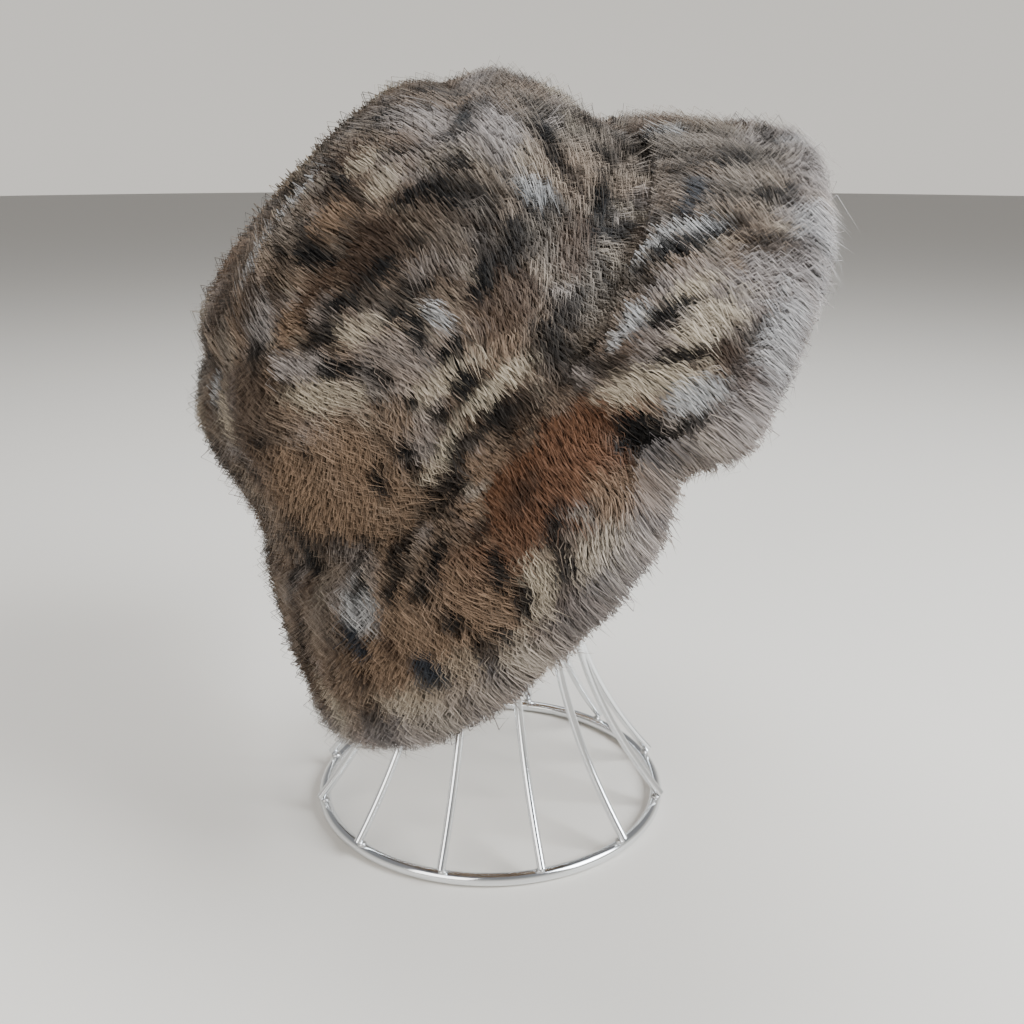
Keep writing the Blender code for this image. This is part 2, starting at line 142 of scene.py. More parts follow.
CROWN = (
    CrownRow(1.000, 0.00, 0.020),
    CrownRow(0.975, 0.36, 0.020),
    CrownRow(0.900, 0.63, 0.020),
    CrownRow(0.740, 0.815, 0.018),
    CrownRow(0.540, 0.91, 0.014),
    CrownRow(0.340, 0.96, 0.008),
    CrownRow(0.150, 0.985, 0.002),
    CrownRow(0.000, 1.00, 0.000),
)

BRIM = (
    BrimRow(-150, 1.21, 51.0),
    BrimRow(-120, 1.16, 48.5),
    BrimRow(-90, 1.06, 46.0),
    BrimRow(-74, 1.00, 45.0),
    BrimRow(-63, 0.85, 43.0),
    BrimRow(-55, 1.04, 40.0),
    BrimRow(-30, 1.00, 38.0),
    BrimRow(0, 0.96, 37.0),
    BrimRow(30, 0.90, 38.0),
    BrimRow(60, 0.92, 41.5),
    BrimRow(90, 1.00, 45.0),
    BrimRow(120, 1.12, 48.5),
    BrimRow(150, 1.19, 51.0),
    BrimRow(180, 1.24, 52.0),
)

DENTS = (
    Dent(-63, 0.74, 0.150, 8.0, 0.30),
    Dent(-96, 0.95, 0.040, 9.0, 0.40),
    Dent(-28, 0.90, 0.030, 12.0, 0.40),
    Dent(35, 0.95, 0.050, 14.0, 0.40),
    Dent(140, 0.95, 0.050, 12.0, 0.40),
)

# Broad fields of colour first, then pale patches, and dark stripes and spots over them; one black spot is
# painted shade in the hollow of the brim's deep dent
MARKS = (
    Mark(422, 113, 34, 24, 0, Tone.ASH, 0.7),
    Mark(507, 130, 40, 18, 85, Tone.ASH, 0.8),
    Mark(325, 222, 22, 14, 50, Tone.TAN, 0.8),
    Mark(364, 253, 40, 26, 50, Tone.BROWN, 0.9),
    Mark(440, 235, 92, 62, 60, Tone.SOOT, 0.45),
    Mark(289, 331, 20, 22, 60, Tone.TAN, 0.7),
    Mark(313, 290, 26, 12, 50, Tone.BROWN, 0.9),
    Mark(508, 310, 34, 26, 60, Tone.BROWN, 0.8),
    Mark(582, 250, 30, 18, 70, Tone.BROWN, 0.8),
    Mark(540, 230, 40, 20, 70, Tone.SOOT, 0.5),
    Mark(400, 370, 60, 30, 30, Tone.ASH, 0.4),
    Mark(225, 250, 40, 14, 60, Tone.TAN, 0.7),
    Mark(218, 350, 30, 14, 80, Tone.GREY, 0.7),
    Mark(330, 500, 74, 56, 20, Tone.TAN, 0.9),
    Mark(397, 500, 20, 24, 90, Tone.TAN, 0.8),
    Mark(563, 470, 78, 42, 35, Tone.RUST, 0.95),
    Mark(520, 520, 44, 40, 35, Tone.RUST, 0.85),
    Mark(478, 590, 44, 36, 40, Tone.RUST, 0.6),
    Mark(620, 500, 30, 22, 40, Tone.TAN, 0.7),
    Mark(607, 415, 44, 18, 20, Tone.RUST, 0.85),
    Mark(430, 660, 110, 60, 20, Tone.TAN, 0.85),
    Mark(470, 690, 90, 22, 22, Tone.CREAM, 0.5),
    Mark(740, 180, 50, 34, 30, Tone.GREY, 0.6),
    Mark(781, 284, 40, 30, 50, Tone.ASH, 0.8),
    Mark(700, 300, 60, 40, 40, Tone.ASH, 0.5),
    Mark(297, 192, 36, 12, 52, Tone.FROST, 0.8),
    Mark(250, 258, 32, 11, 65, Tone.FROST, 0.7),
    Mark(257, 326, 24, 11, 75, Tone.ASH, 0.85),
    Mark(362, 161, 18, 11, 30, Tone.CREAM, 0.7),
    Mark(384, 180, 15, 9, 60, Tone.CREAM, 0.6),
    Mark(539, 188, 20, 11, -60, Tone.FROST, 0.6),
    Mark(364, 334, 28, 9, 12, Tone.CREAM, 0.85),
    Mark(300, 375, 36, 13, 0, Tone.ASH, 0.9),
    Mark(325, 402, 36, 15, 5, Tone.CREAM, 0.9),
    Mark(442, 319, 15, 8, -30, Tone.FROST, 0.7),
    Mark(450, 385, 36, 11, 35, Tone.CREAM, 0.7),
    Mark(500, 395, 50, 7, 42, Tone.CREAM, 0.9),
    Mark(448, 462, 34, 6, 62, Tone.CREAM, 0.9),
    Mark(212, 392, 18, 10, 80, Tone.FROST, 0.9),
    Mark(222, 425, 24, 9, 70, Tone.CREAM, 0.9),
    Mark(674, 123, 19, 11, 0, Tone.FROST, 0.9),
    Mark(809, 134, 24, 11, -10, Tone.FROST, 0.8),
    Mark(676, 228, 40, 9, 25, Tone.FROST, 0.75),
    Mark(633, 320, 24, 13, 60, Tone.FROST, 0.8),
    Mark(697, 287, 30, 9, 35, Tone.CREAM, 0.9),
    Mark(715, 325, 36, 18, 40, Tone.CREAM, 0.85),
    Mark(832, 240, 46, 13, 72, Tone.FROST, 0.85),
    Mark(794, 340, 46, 12, 60, Tone.FROST, 0.85),
    Mark(655, 386, 42, 15, 15, Tone.CREAM, 0.95),
    Mark(704, 404, 25, 14, 10, Tone.FROST, 0.9),
    Mark(750, 425, 20, 9, 20, Tone.ASH, 0.85),
    Mark(355, 618, 28, 24, 70, Tone.FROST, 0.85),
    Mark(484, 475, 18, 12, 40, Tone.TAN, 0.9),
    Mark(470, 515, 14, 12, 0, Tone.TAN, 0.9),
    Mark(545, 600, 30, 15, 80, Tone.CREAM, 0.9),
    Mark(600, 562, 30, 13, 50, Tone.CREAM, 0.8),
    Mark(335, 717, 40, 17, -20, Tone.CREAM, 0.9),
    Mark(420, 722, 50, 12, 5, Tone.CREAM, 0.7),
    Mark(518, 668, 22, 12, 50, Tone.CREAM, 0.8),
    Mark(386, 110, 13, 9, 40, Tone.BLACK),
    Mark(354, 108, 14, 7, 50, Tone.SOOT),
    Mark(404, 146, 19, 6, 0, Tone.SOOT),
    Mark(472, 112, 30, 10, -70, Tone.BLACK),
    Mark(341, 180, 14, 7, -40, Tone.BLACK),
    Mark(291, 171, 10, 6, -20, Tone.SOOT),
    Mark(442, 178, 14, 8, -70, Tone.BLACK),
    Mark(456, 197, 15, 8, -30, Tone.BLACK),
    Mark(410, 197, 22, 11, 20, Tone.BLACK),
    Mark(466, 160, 14, 7, -70, Tone.SOOT),
    Mark(311, 252, 22, 14, -20, Tone.BLACK),
    Mark(277, 251, 8, 6, 0, Tone.SOOT),
    Mark(379, 273, 18, 11, 45, Tone.BLACK),
    Mark(491, 280, 22, 8, 70, Tone.BLACK),
    Mark(517, 241, 26, 8, 80, Tone.BLACK),
    Mark(419, 243, 12, 7, 60, Tone.SOOT),
    Mark(345, 304, 20, 10, 30, Tone.BLACK),
    Mark(322, 342, 22, 8, 15, Tone.BLACK),
    Mark(344, 377, 25, 8, 8, Tone.BLACK),
    Mark(425, 338, 15, 11, -50, Tone.BLACK),
    Mark(398, 322, 14, 8, 30, Tone.BLACK),
    Mark(422, 294, 12, 8, 30, Tone.SOOT),
    Mark(459, 357, 15, 6, 30, Tone.BLACK),
    Mark(468, 394, 14, 10, 50, Tone.BLACK),
    Mark(386, 386, 11, 6, 40, Tone.SOOT),
    Mark(199, 326, 8, 8, 0, Tone.BLACK),
    Mark(248, 355, 15, 8, 70, Tone.SOOT),
    Mark(557, 135, 36, 10, -86, Tone.BLACK),
    Mark(597, 123, 22, 8, 75, Tone.BLACK),
    Mark(643, 154, 14, 8, 70, Tone.BLACK),
    Mark(656, 131, 12, 5, -70, Tone.SOOT),
    Mark(609, 208, 42, 10, 72, Tone.BLACK),
    Mark(522, 245, 24, 12, 60, Tone.SOOT, 0.7),
    Mark(565, 328, 34, 11, 55, Tone.BLACK, 0.8),
    Mark(700, 187, 34, 9, 75, Tone.SLATE),
    Mark(740, 157, 18, 8, 20, Tone.SOOT),
    Mark(738, 195, 14, 8, 60, Tone.SOOT, 0.8),
    Mark(786, 151, 12, 7, 30, Tone.SOOT),
    Mark(782, 190, 28, 8, 30, Tone.BLACK),
    Mark(695, 241, 46, 9, 26, Tone.BLACK),
    Mark(778, 240, 22, 7, 30, Tone.BLACK, 0.8),
    Mark(685, 307, 28, 8, 30, Tone.BLACK),
    Mark(638, 233, 20, 8, 40, Tone.SOOT),
    Mark(691, 358, 34, 7, 5, Tone.SOOT),
    Mark(592, 348, 14, 7, 20, Tone.SOOT),
    Mark(758, 381, 14, 6, 50, Tone.BROWN),
    Mark(766, 335, 18, 5, 50, Tone.SOOT, 0.7),
    # Painted shade: this black spot lies in the hollow of the brim's deep dent, under the corner of the front
    # brim
    Mark(652, 446, 28, 16, -20, Tone.BLACK),
    Mark(699, 433, 26, 7, 15, Tone.SOOT),
    Mark(512, 420, 32, 8, 38, Tone.BLACK, 0.8),
    Mark(474, 450, 30, 9, 52, Tone.BLACK, 0.8),
    Mark(447, 500, 34, 8, 60, Tone.BLACK, 0.85),
    Mark(404, 548, 24, 8, 35, Tone.BLACK, 0.85),
    Mark(437, 562, 24, 10, 85, Tone.BLACK),
    Mark(523, 498, 22, 14, 60, Tone.SOOT, 0.6),
    Mark(417, 602, 12, 10, 0, Tone.SOOT),
    Mark(455, 632, 12, 10, 0, Tone.BLACK),
    Mark(386, 602, 12, 8, 90, Tone.SOOT),
    Mark(316, 577, 16, 13, 0, Tone.BLACK),
    Mark(356, 597, 12, 7, 10, Tone.SOOT),
    Mark(355, 574, 15, 5, 10, Tone.SOOT, 0.8),
    Mark(349, 648, 20, 15, 100, Tone.SLATE),
    Mark(431, 683, 21, 12, -20, Tone.SLATE),
    Mark(490, 672, 20, 13, 100, Tone.BLACK),
    Mark(386, 660, 12, 8, -30, Tone.BROWN),
    Mark(501, 577, 16, 8, 100, Tone.SOOT),
    Mark(557, 537, 22, 7, 80, Tone.SOOT),
    Mark(565, 577, 18, 7, 80, Tone.SOOT),
    Mark(529, 610, 15, 6, 80, Tone.SOOT),
    Mark(507, 645, 9, 8, 0, Tone.SOOT),
    Mark(481, 537, 12, 9, 60, Tone.SOOT, 0.8),
    Mark(414, 468, 16, 10, 100, Tone.BLACK),
    Mark(383, 492, 15, 9, 90, Tone.SOOT),
    Mark(414, 414, 10, 9, 0, Tone.BLACK),
    Mark(448, 422, 12, 7, 10, Tone.SOOT),
    Mark(260, 453, 11, 9, 70, Tone.SOOT),
    Mark(307, 464, 11, 8, -30, Tone.SOOT),
    Mark(296, 543, 11, 7, 80, Tone.SOOT),
    Mark(299, 649, 14, 7, 110, Tone.SOOT),
    Mark(593, 613, 34, 7, 28, Tone.BROWN, 0.8),
)

# The ground's colours, each over the one before
GROUND = (
    Layer(Tone.TAN, 0.040, 0.0, 0.35, 0.35, 0.7),
    Layer(Tone.BROWN, 0.026, 0.5, 0.45, 0.25, 0.7),
    Layer(Tone.ASH, 0.016, 0.9, 0.52, 0.20, 0.6),
    Layer(Tone.SOOT, 0.006, 0.3, 0.50, 0.16, 0.8, streaked=True),
    Layer(Tone.BLACK, 0.011, 2.2, 0.59, 0.12, 0.7),
    Layer(Tone.CREAM, 0.006, 0.3, 0.40, -0.20, 0.4, streaked=True),
)

# Tones of the markings that are drawn where the chart ends, as often as each should come
HIDDEN_TONES = (Tone.BLACK, Tone.BLACK, Tone.SOOT, Tone.SOOT, Tone.BROWN, Tone.BROWN, Tone.TAN, Tone.CREAM)

# Names of the coat's sectors on each panel
SECTORS = {"crown_tip": ("",), "crown_side": ("right", "left"), "brim": ("right", "front", "left")}

# A hair of unit length and width: how far along, how high and how wide it is, then its tip
BLADE_ROWS = ((0.0, 0.0, 0.8), (0.36, 0.46, 1.0))
BLADE_TIP = (0.86, 0.70, 0.0)
BLADE_ALONG = (0.0, 0.0, 0.55, 0.55, 1.0)

# The button's turned profile: shares of its radius and of half its height
BUTTON_PROFILE = ((0.30, 0.98), (0.62, 0.86), (0.86, 0.55), (0.97, 0.30), (1.0, 0.12), (1.0, -0.55),
                  (0.96, -0.82), (0.86, -0.96), (0.4, -1.0))

LAMPS = (
    Lamp("key", (1.05, -0.45, 0.95), 0.8, 38.0, (0.93, 0.97, 1.0)),
    Lamp("fill", (-0.75, -1.25, 0.85), 1.0, 15.0, (1.0, 0.97, 0.93)),
    Lamp("top", (-0.10, 0.45, 1.45), 0.9, 18.0, (0.96, 0.98, 1.0)),
)

# Colours of the surroundings, from straight down to straight up
SKY = ((0.0, (1.0, 0.96, 0.89)), (0.22, (0.92, 0.88, 0.81)), (0.50, (0.34, 0.34, 0.34)),
       (1.0, (0.26, 0.26, 0.27)))


@dataclass(frozen=True)
class HatSizes:
    """Sizes of the hat, as its solids have them."""

    head_diameter: float = 0.184
    crown_depth: float = 0.080
    hide: float = 0.0025
    tip_share: float = 0.47
    brim_width: float = 0.066
    brim_bulge: float = 0.005
    brim_parting: float = 0.040
    clearance: float = 0.0003
    tip_back: float = 44.3
    lean: float = 15.4
    under_turn: float = 0.016
    dent_start: float = 0.3
    profile_steps: int = 24
    step_share: float = 1e-3

    @property
    def outer_radius(self) -> float:
        """Half the width of the leather at the brim seam."""
        return self.head_diameter / 2 + self.hide


@dataclass(frozen=True)
class FurSizes:
    """Sizes of the fur."""

    underfur: float = 0.0072
    rim_underfur: float = 0.0065
    under_depth: float = 0.0025
    seam_dip: float = 0.35
    seam_parting: float = 0.008
    overhang: float = 0.0028
    root_sunk: float = 0.0012
    columns: int = 480
    skin_step: int = 3
    tip_rows: int = 28
    side_rows: int = 32
    brim_rows: int = 34
    rim_angles: Tuple[float, ...] = (30, 60, 90, 120, 150)
    near_side: float = -80.0
    near_spread: float = 55.0
    fill: float = 0.0075
    fill_coat: float = 0.45
    fill_spread: float = 0.017
    fill_shift: float = 0.3
    far_parting_cut: float = 0.75
    seam_coat: float = 0.45
    seam_coat_far: float = 0.75
    brim_coat: float = 1.10
    rim_way: float = 0.008
    rim_coat: float = 0.95
    rim_coat_cut: float = 0.35
    under_rows: int = 4
    under_thinning: float = 0.6
    under_coat: float = 0.55
    under_coat_cut: float = 0.25


@dataclass(frozen=True)
class PhotoView:
    """The viewing place and angle, shared by the camera and by the charted markings."""

    distance: float = 0.48
    height: float = 0.290
    pitch: float = 17.8
    yaw: float = 1.2
    focal: float = 1150.0
    image: int = 1024
    pixel: float = 0.00042
    sensor: float = 36.0

    def placing(self, axis: Vector) -> Matrix:
        """Place and turn of the camera.

        Args:
            axis: A point on the stand's axis.

        Returns:
            The camera's world matrix.
        """
        place = Matrix.Translation((axis.x, axis.y - self.distance, self.height))
        turn = Matrix.Rotation(math.radians(-self.yaw), 4, "Z")
        return place @ turn @ Matrix.Rotation(math.radians(90 - self.pitch), 4, "X")

    def toward(self, axis: Vector, px: float, py: float) -> Vector:
        """World direction through a pixel.

        Args:
            axis: A point on the stand's axis.
            px: The pixel, from the left.
            py: The pixel, from the top.

        Returns:
            A direction of length 1.
        """
        local = Vector(((px - self.image / 2) / self.focal, (self.image / 2 - py) / self.focal, -1.0))
        return (self.placing(axis).to_3x3() @ local).normalized()


def eased(share: np.ndarray) -> np.ndarray:
    """A rise from 0 to 1 that starts and ends level."""
    share = np.clip(share, 0.0, 1.0)
    return share * share * (3 - 2 * share)


def bell(distance: np.ndarray, spread: float) -> np.ndarray:
    """A smooth hump, 1 in its middle."""
    return np.exp(-(distance / spread) ** 2)


def unit(vectors: np.ndarray) -> np.ndarray:
    """Vectors brought to length 1."""
    return vectors / np.maximum(np.linalg.norm(vectors, axis=-1, keepdims=True), 1e-12)


def turns(count: int, start: float = 0.0) -> np.ndarray:
    """Even turns all the way round, in radians."""
    return (np.arange(count) + start) * 2 * math.pi / count


def around(rows: Sequence[BrimRow], column: str, azimuth: np.ndarray) -> np.ndarray:
    """A column of a table whose rows lie round the hat.

    Args:
        rows: The table, in order of azimuth.
        column: Name of the column.
        azimuth: Where it is read.

    Returns:
        The column's value at each azimuth, eased from row to row.
    """
    angles = np.array([row.azimuth for row in rows], float)
    values = np.array([getattr(row, column) for row in rows], float)
    past = (np.asarray(azimuth, float) - angles[0]) % 360
    starts = angles - angles[0]
    at = np.searchsorted(starts, past, side="right") - 1
    spans = np.diff(np.append(starts, 360.0))
    after = np.roll(values, -1)
    return values[at] + (after[at] - values[at]) * eased((past - starts[at]) / spans[at])


class Noise:
    """Smooth random numbers over space, the same each run."""

    def __init__(self, seed: int, size: int = 48) -> None:
        """Draws the lattice."""
        self.size = size
        self.lattice = np.random.default_rng(seed).random((size, size, size))

    def plain(self, points: np.ndarray, scale: float) -> np.ndarray:
        """One layer, from 0 to 1.

        Args:
            points: Places, with their coordinates last.
            scale: Size of its blobs.

        Returns:
            A value for each place.
        """
        grid = points / scale + NOISE_ORIGIN
        cell = np.floor(grid).astype(int)
        part = eased(grid - cell)
        total = np.zeros(points.shape[:-1])
        for corner in range(8):
            step = np.array([corner & 1, corner >> 1 & 1, corner >> 2 & 1])
            weight = np.prod(np.where(step, part, 1 - part), axis=-1)
            i, j, k = np.moveaxis((cell + step) % self.size, -1, 0)
            total += weight * self.lattice[i, j, k]
        return total

    def layered(self, points: np.ndarray, scale: float, layers: int = 3) -> np.ndarray:
        """Several layers, each half the size and strength of the one before.

        Args:
            points: Places, with their coordinates last.
            scale: Size of the first layer's blobs.
            layers: How many there are.

        Returns:
            A value from 0 to 1 for each place.
        """
        total = np.zeros(points.shape[:-1])
        weight = 0.0
        for layer in range(layers):
            share = 0.5 ** layer
            total += share * self.plain(points + LAYER_SHIFT * layer, scale * share)
            weight += share
        return total / weight


class HatForm:
    """Outer face of the hat's leather, by azimuth and by the way down from the tip's centre."""

    def __init__(self, sizes: HatSizes) -> None:
        """Works out the profile and reads the hat's place from the frame.

        Args:
            sizes: The hat's sizes.
        """
        self.sizes = sizes
        self.curve = self._profile()
        steps = np.hypot(*np.diff(self.curve[:, :2], axis=0).T)
        self.way = np.concatenate([[0], np.cumsum(steps)])
        self.crown_length = float(self.way[-1])
        self.tip_seam = self.crown_length * sizes.tip_share
        self.crown_step = self.crown_length * sizes.step_share
        self.brim_step = sizes.step_share
        turn = Matrix.Rotation(math.radians(sizes.lean), 3, "X")
        self.turn = np.array(turn @ Matrix.Rotation(math.radians(-sizes.tip_back), 3, "Y"))
        self.seat = self._seat()

    def _profile(self) -> np.ndarray:
        """A smooth curve through the rows of the crown's table.

        Returns:
            Reach, height and shift forward of its points, from the tip's centre down.
        """
        s = self.sizes
        points = np.array([(row.reach * s.outer_radius, row.height * s.crown_depth + s.clearance / 2,
                            row.forward * s.outer_radius) for row in CROWN])
        curve = []
        for i in range(len(points) - 1):
            before, start = points[max(i - 1, 0)], points[i]
            end, after = points[i + 1], points[min(i + 2, len(points) - 1)]
            for t in np.linspace(0, 1, s.profile_steps, endpoint=False):
                curve.append(0.5 * (2 * start + (end - before) * t
                                    + (2 * before - 5 * start + 4 * end - after) * t ** 2
                                    + (3 * start - before - 3 * end + after) * t ** 3))
        return np.array(curve + [points[-1]])

    def _seat(self) -> np.ndarray:
        """World place of the middle of the brim seam, from the lower edge of the side band's solid.

        Returns:
            A point.
        """
        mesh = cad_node("crown_side_hide").data
        points = np.zeros(3 * len(mesh.vertices))
        mesh.vertices.foreach_get("co", points)
        upright = points.reshape(-1, 3) @ self.turn
        edge = upright[upright[:, 2] < upright[:, 2].min() + self.sizes.hide]
        low = (edge[:, :2].min(axis=0) + edge[:, :2].max(axis=0)) / 2
        return self.turn @ np.array([low[0], low[1], edge[:, 2].max() - self.sizes.clearance / 2])

    def crown(self, azimuth: np.ndarray, way: np.ndarray) -> np.ndarray:
        """Points of the crown, in the hat's frame. Past the brim seam they go straight on down.

        Args:
            azimuth: Where they are round the hat.
            way: Their way down from the tip's centre.

        Returns:
            A point for each pair.
        """
        reach, height, forward = (np.interp(way, self.way, column) for column in self.curve.T)
        height = height - np.maximum(way - self.crown_length, 0.0)
        a = np.radians(azimuth)
        return np.stack([reach * np.cos(a) + forward, reach * np.sin(a), height], axis=-1)

    def brim(self, azimuth: np.ndarray, share: np.ndarray) -> np.ndarray:
        """Points of the brim, in the hat's frame.

        Args:
            azimuth: Where they are round the hat.
            share: Their share of the way from seam to rim.

        Returns:
            A point for each pair.
        """
        s = self.sizes
        slope = np.radians(around(BRIM, "slope", azimuth))
        width = self.brim_width(azimuth)
        lift = s.brim_bulge * np.sin(np.pi * np.clip(share, 0, 1)) ** 2
        for dent in DENTS:
            turned = (azimuth - dent.azimuth + 180) % 360 - 180
            lift = lift - (dent.depth * s.brim_width * bell(turned, dent.spread)
                           * bell(share - dent.along, dent.reach) * eased(share / s.dent_start))
        out = s.outer_radius + width * share * np.cos(slope) + lift * np.sin(slope)
        up = -s.clearance / 2 - width * share * np.sin(slope) + lift * np.cos(slope)
        a = np.radians(azimuth)
        return np.stack([out * np.cos(a), out * np.sin(a), up], axis=-1)

    def brim_width(self, azimuth: np.ndarray) -> np.ndarray:
        """Width of the brim's leather along the slope."""
        return self.sizes.brim_width * around(BRIM, "width", azimuth)

    def read(self, surface: Surface, azimuth: np.ndarray, along: np.ndarray,
             step: float) -> Tuple[np.ndarray, np.ndarray, np.ndarray]:
        """Reads a surface.

        Args:
            surface: The crown or the brim.
            azimuth: Where the points are round the hat.
            along: How far down the surface they are.
            step: Length over which directions are read.

        Returns:
            World places, outward directions and downhill directions.
        """
        place = surface(azimuth, along)
        low, high = np.maximum(along - step, step), np.maximum(along + step, 3 * step)
        level = np.maximum(along, step)
        round_hat = surface(azimuth + 0.5, level) - surface(azimuth - 0.5, level)
        down = surface(azimuth, high) - surface(azimuth, low)
        up = unit(np.cross(down, round_hat))
        return self.to_world(place), up @ self.turn.T, unit(down) @ self.turn.T

    def to_world(self, points: np.ndarray) -> np.ndarray:
        """Points of the hat's frame, in the world."""
        return points @ self.turn.T + self.seat


@dataclass
class Pelt:
    """A grid of places on the hat's leather: rows down the hat, columns round it."""

    place: np.ndarray
    up: np.ndarray
    comb: np.ndarray
    azimuth: np.ndarray
    way: np.ndarray
    depth: np.ndarray
    coat: np.ndarray
    pole: Optional[np.ndarray] = None
    pale: Optional[np.ndarray] = None

    def skin(self) -> np.ndarray:
        """Outer face of the underfur."""
        return self.place + self.up * self.depth[..., None]

    def seen(self, length: float) -> np.ndarray:
        """Where the coat that is rooted here shows."""
        reach = (length * self.coat)[..., None]
        downhill, outward = COAT_REACH
        return self.skin() + (self.comb * downhill + self.up * outward) * reach


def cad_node(name: str) -> bpy.types.Object:
    """A node of the frame."""
    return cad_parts[name]


def mesh_object(name: str, points: np.ndarray, faces: Sequence[Sequence[int]],
                recalc: bool = True) -> bpy.types.Object:
    """A new mesh object at the origin.

    Args:
        name: Its name.
        points: World places of its vertices.
        faces: Its faces, by vertex.
        recalc: Whether to turn the faces of a closed shape outwards.

    Returns:
        The object, shaded smooth.
    """
    mesh = bpy.data.meshes.new(name)
    mesh.from_pydata([tuple(p) for p in points], [], [tuple(f) for f in faces])
    if recalc:
        bm = bmesh.new()
        bm.from_mesh(mesh)
        bmesh.ops.recalc_face_normals(bm, faces=bm.faces)
        bm.to_mesh(mesh)
        bm.free()
    mesh.shade_smooth()
    obj = bpy.data.objects.new(name, mesh)
    bpy.context.scene.collection.objects.link(obj)
    return obj


def grid_faces(rows: int, columns: int, closed: bool) -> List[Tuple[int, int, int, int]]:
    """Four-sided faces of a grid of points.

    Args:
        rows: Rows of points.
        columns: Points in a row.
        closed: Whether the rows go all the way round.

    Returns:
        The faces, by vertex.
    """
    faces = []
    for row in range(rows - 1):
        for column in range(columns if closed else columns - 1):
            a, b = row * columns + column, row * columns + (column + 1) % columns
            faces.append((a, b, b + columns, a + columns))
    return faces


def shell(name: str, outer: np.ndarray, inner: np.ndarray,
          poles: Sequence[np.ndarray] = ()) -> bpy.types.Object:
    """A closed skin round one grid of points, or between two.

    Args:
        name: Its name.
        outer: The outer grid, row by row.
        inner: The inner grid, or none of its rows for a plain tube or ball.
        poles: Points that close it at its first and last row, which else are joined.

    Returns:
        The object.
    """
    rings = np.concatenate([outer, inner[::-1]])
    rows, columns = rings.shape[:2]
    points = rings.reshape(-1, 3)
    faces: List[Sequence[int]] = list(grid_faces(rows, columns, True))
    last = (rows - 1) * columns
    if poles:
        count = len(points)
        points = np.concatenate([points, np.array(poles)])
        for column in range(columns):
            after = (column + 1) % columns
            faces.append((count, after, column))
            faces.append((count + 1, last + column, last + after))
    else:
        for column in range(columns):
            after = (column + 1) % columns
            faces.append((last + column, last + after, after, column))
    return mesh_object(name, points, faces)


def write_attribute(mesh: bpy.types.Mesh, name: str, values: np.ndarray) -> None:
    """Stores numbers, vectors or colours on a mesh's points.

    Args:
        mesh: The mesh.
        name: The attribute's name, which is tone for a colour.
        values: A value for each point.
    """
    values = np.asarray(values, float)
    kind, slot = {1: ("FLOAT", "value"), 2: ("FLOAT_VECTOR", "vector")}[values.ndim]
    if values.ndim == 2 and name == "tone":
        kind, slot = "FLOAT_COLOR", "color"
        values = np.concatenate([values, np.ones((len(values), 1))], axis=1)
    mesh.attributes.new(name, kind, "POINT").data.foreach_set(slot, values.astype(np.float32).ravel())


class Wire:
    """An output of a node tree. Arithmetic on it adds Math nodes."""

    def __init__(self, graph: "Graph", socket: bpy.types.NodeSocket) -> None:
        """Wraps one socket."""
        self.graph = graph
        self.socket = socket

    def _math(self, operation: str, first: "Value", second: "Value") -> "Wire":
        """One Math node."""
        return self.graph.node("ShaderNodeMath", {"operation": operation}, {0: first, 1: second})

    def __add__(self, other: "Value") -> "Wire":
        """Self plus other."""
        return self._math("ADD", self, other)

    def __radd__(self, other: "Value") -> "Wire":
        """Other plus self."""
        return self._math("ADD", other, self)

    def __sub__(self, other: "Value") -> "Wire":
        """Self minus other."""
        return self._math("SUBTRACT", self, other)

    def __rsub__(self, other: "Value") -> "Wire":
        """Other minus self."""
        return self._math("SUBTRACT", other, self)

    def __mul__(self, other: "Value") -> "Wire":
        """Self times other."""
        return self._math("MULTIPLY", self, other)

    def __rmul__(self, other: "Value") -> "Wire":
        """Other times self."""
        return self._math("MULTIPLY", other, self)

    def __truediv__(self, other: "Value") -> "Wire":
        """Self over other."""
        return self._math("DIVIDE", self, other)

    def __rtruediv__(self, other: "Value") -> "Wire":
        """Other over self."""
        return self._math("DIVIDE", other, self)

    def clamped(self) -> "Wire":
        """Self, kept between 0 and 1."""
        return self.graph.node("ShaderNodeClamp", {}, {"Value": self})


Value = Union[Wire, float, int, bool, str, Sequence[float], bpy.types.ID]


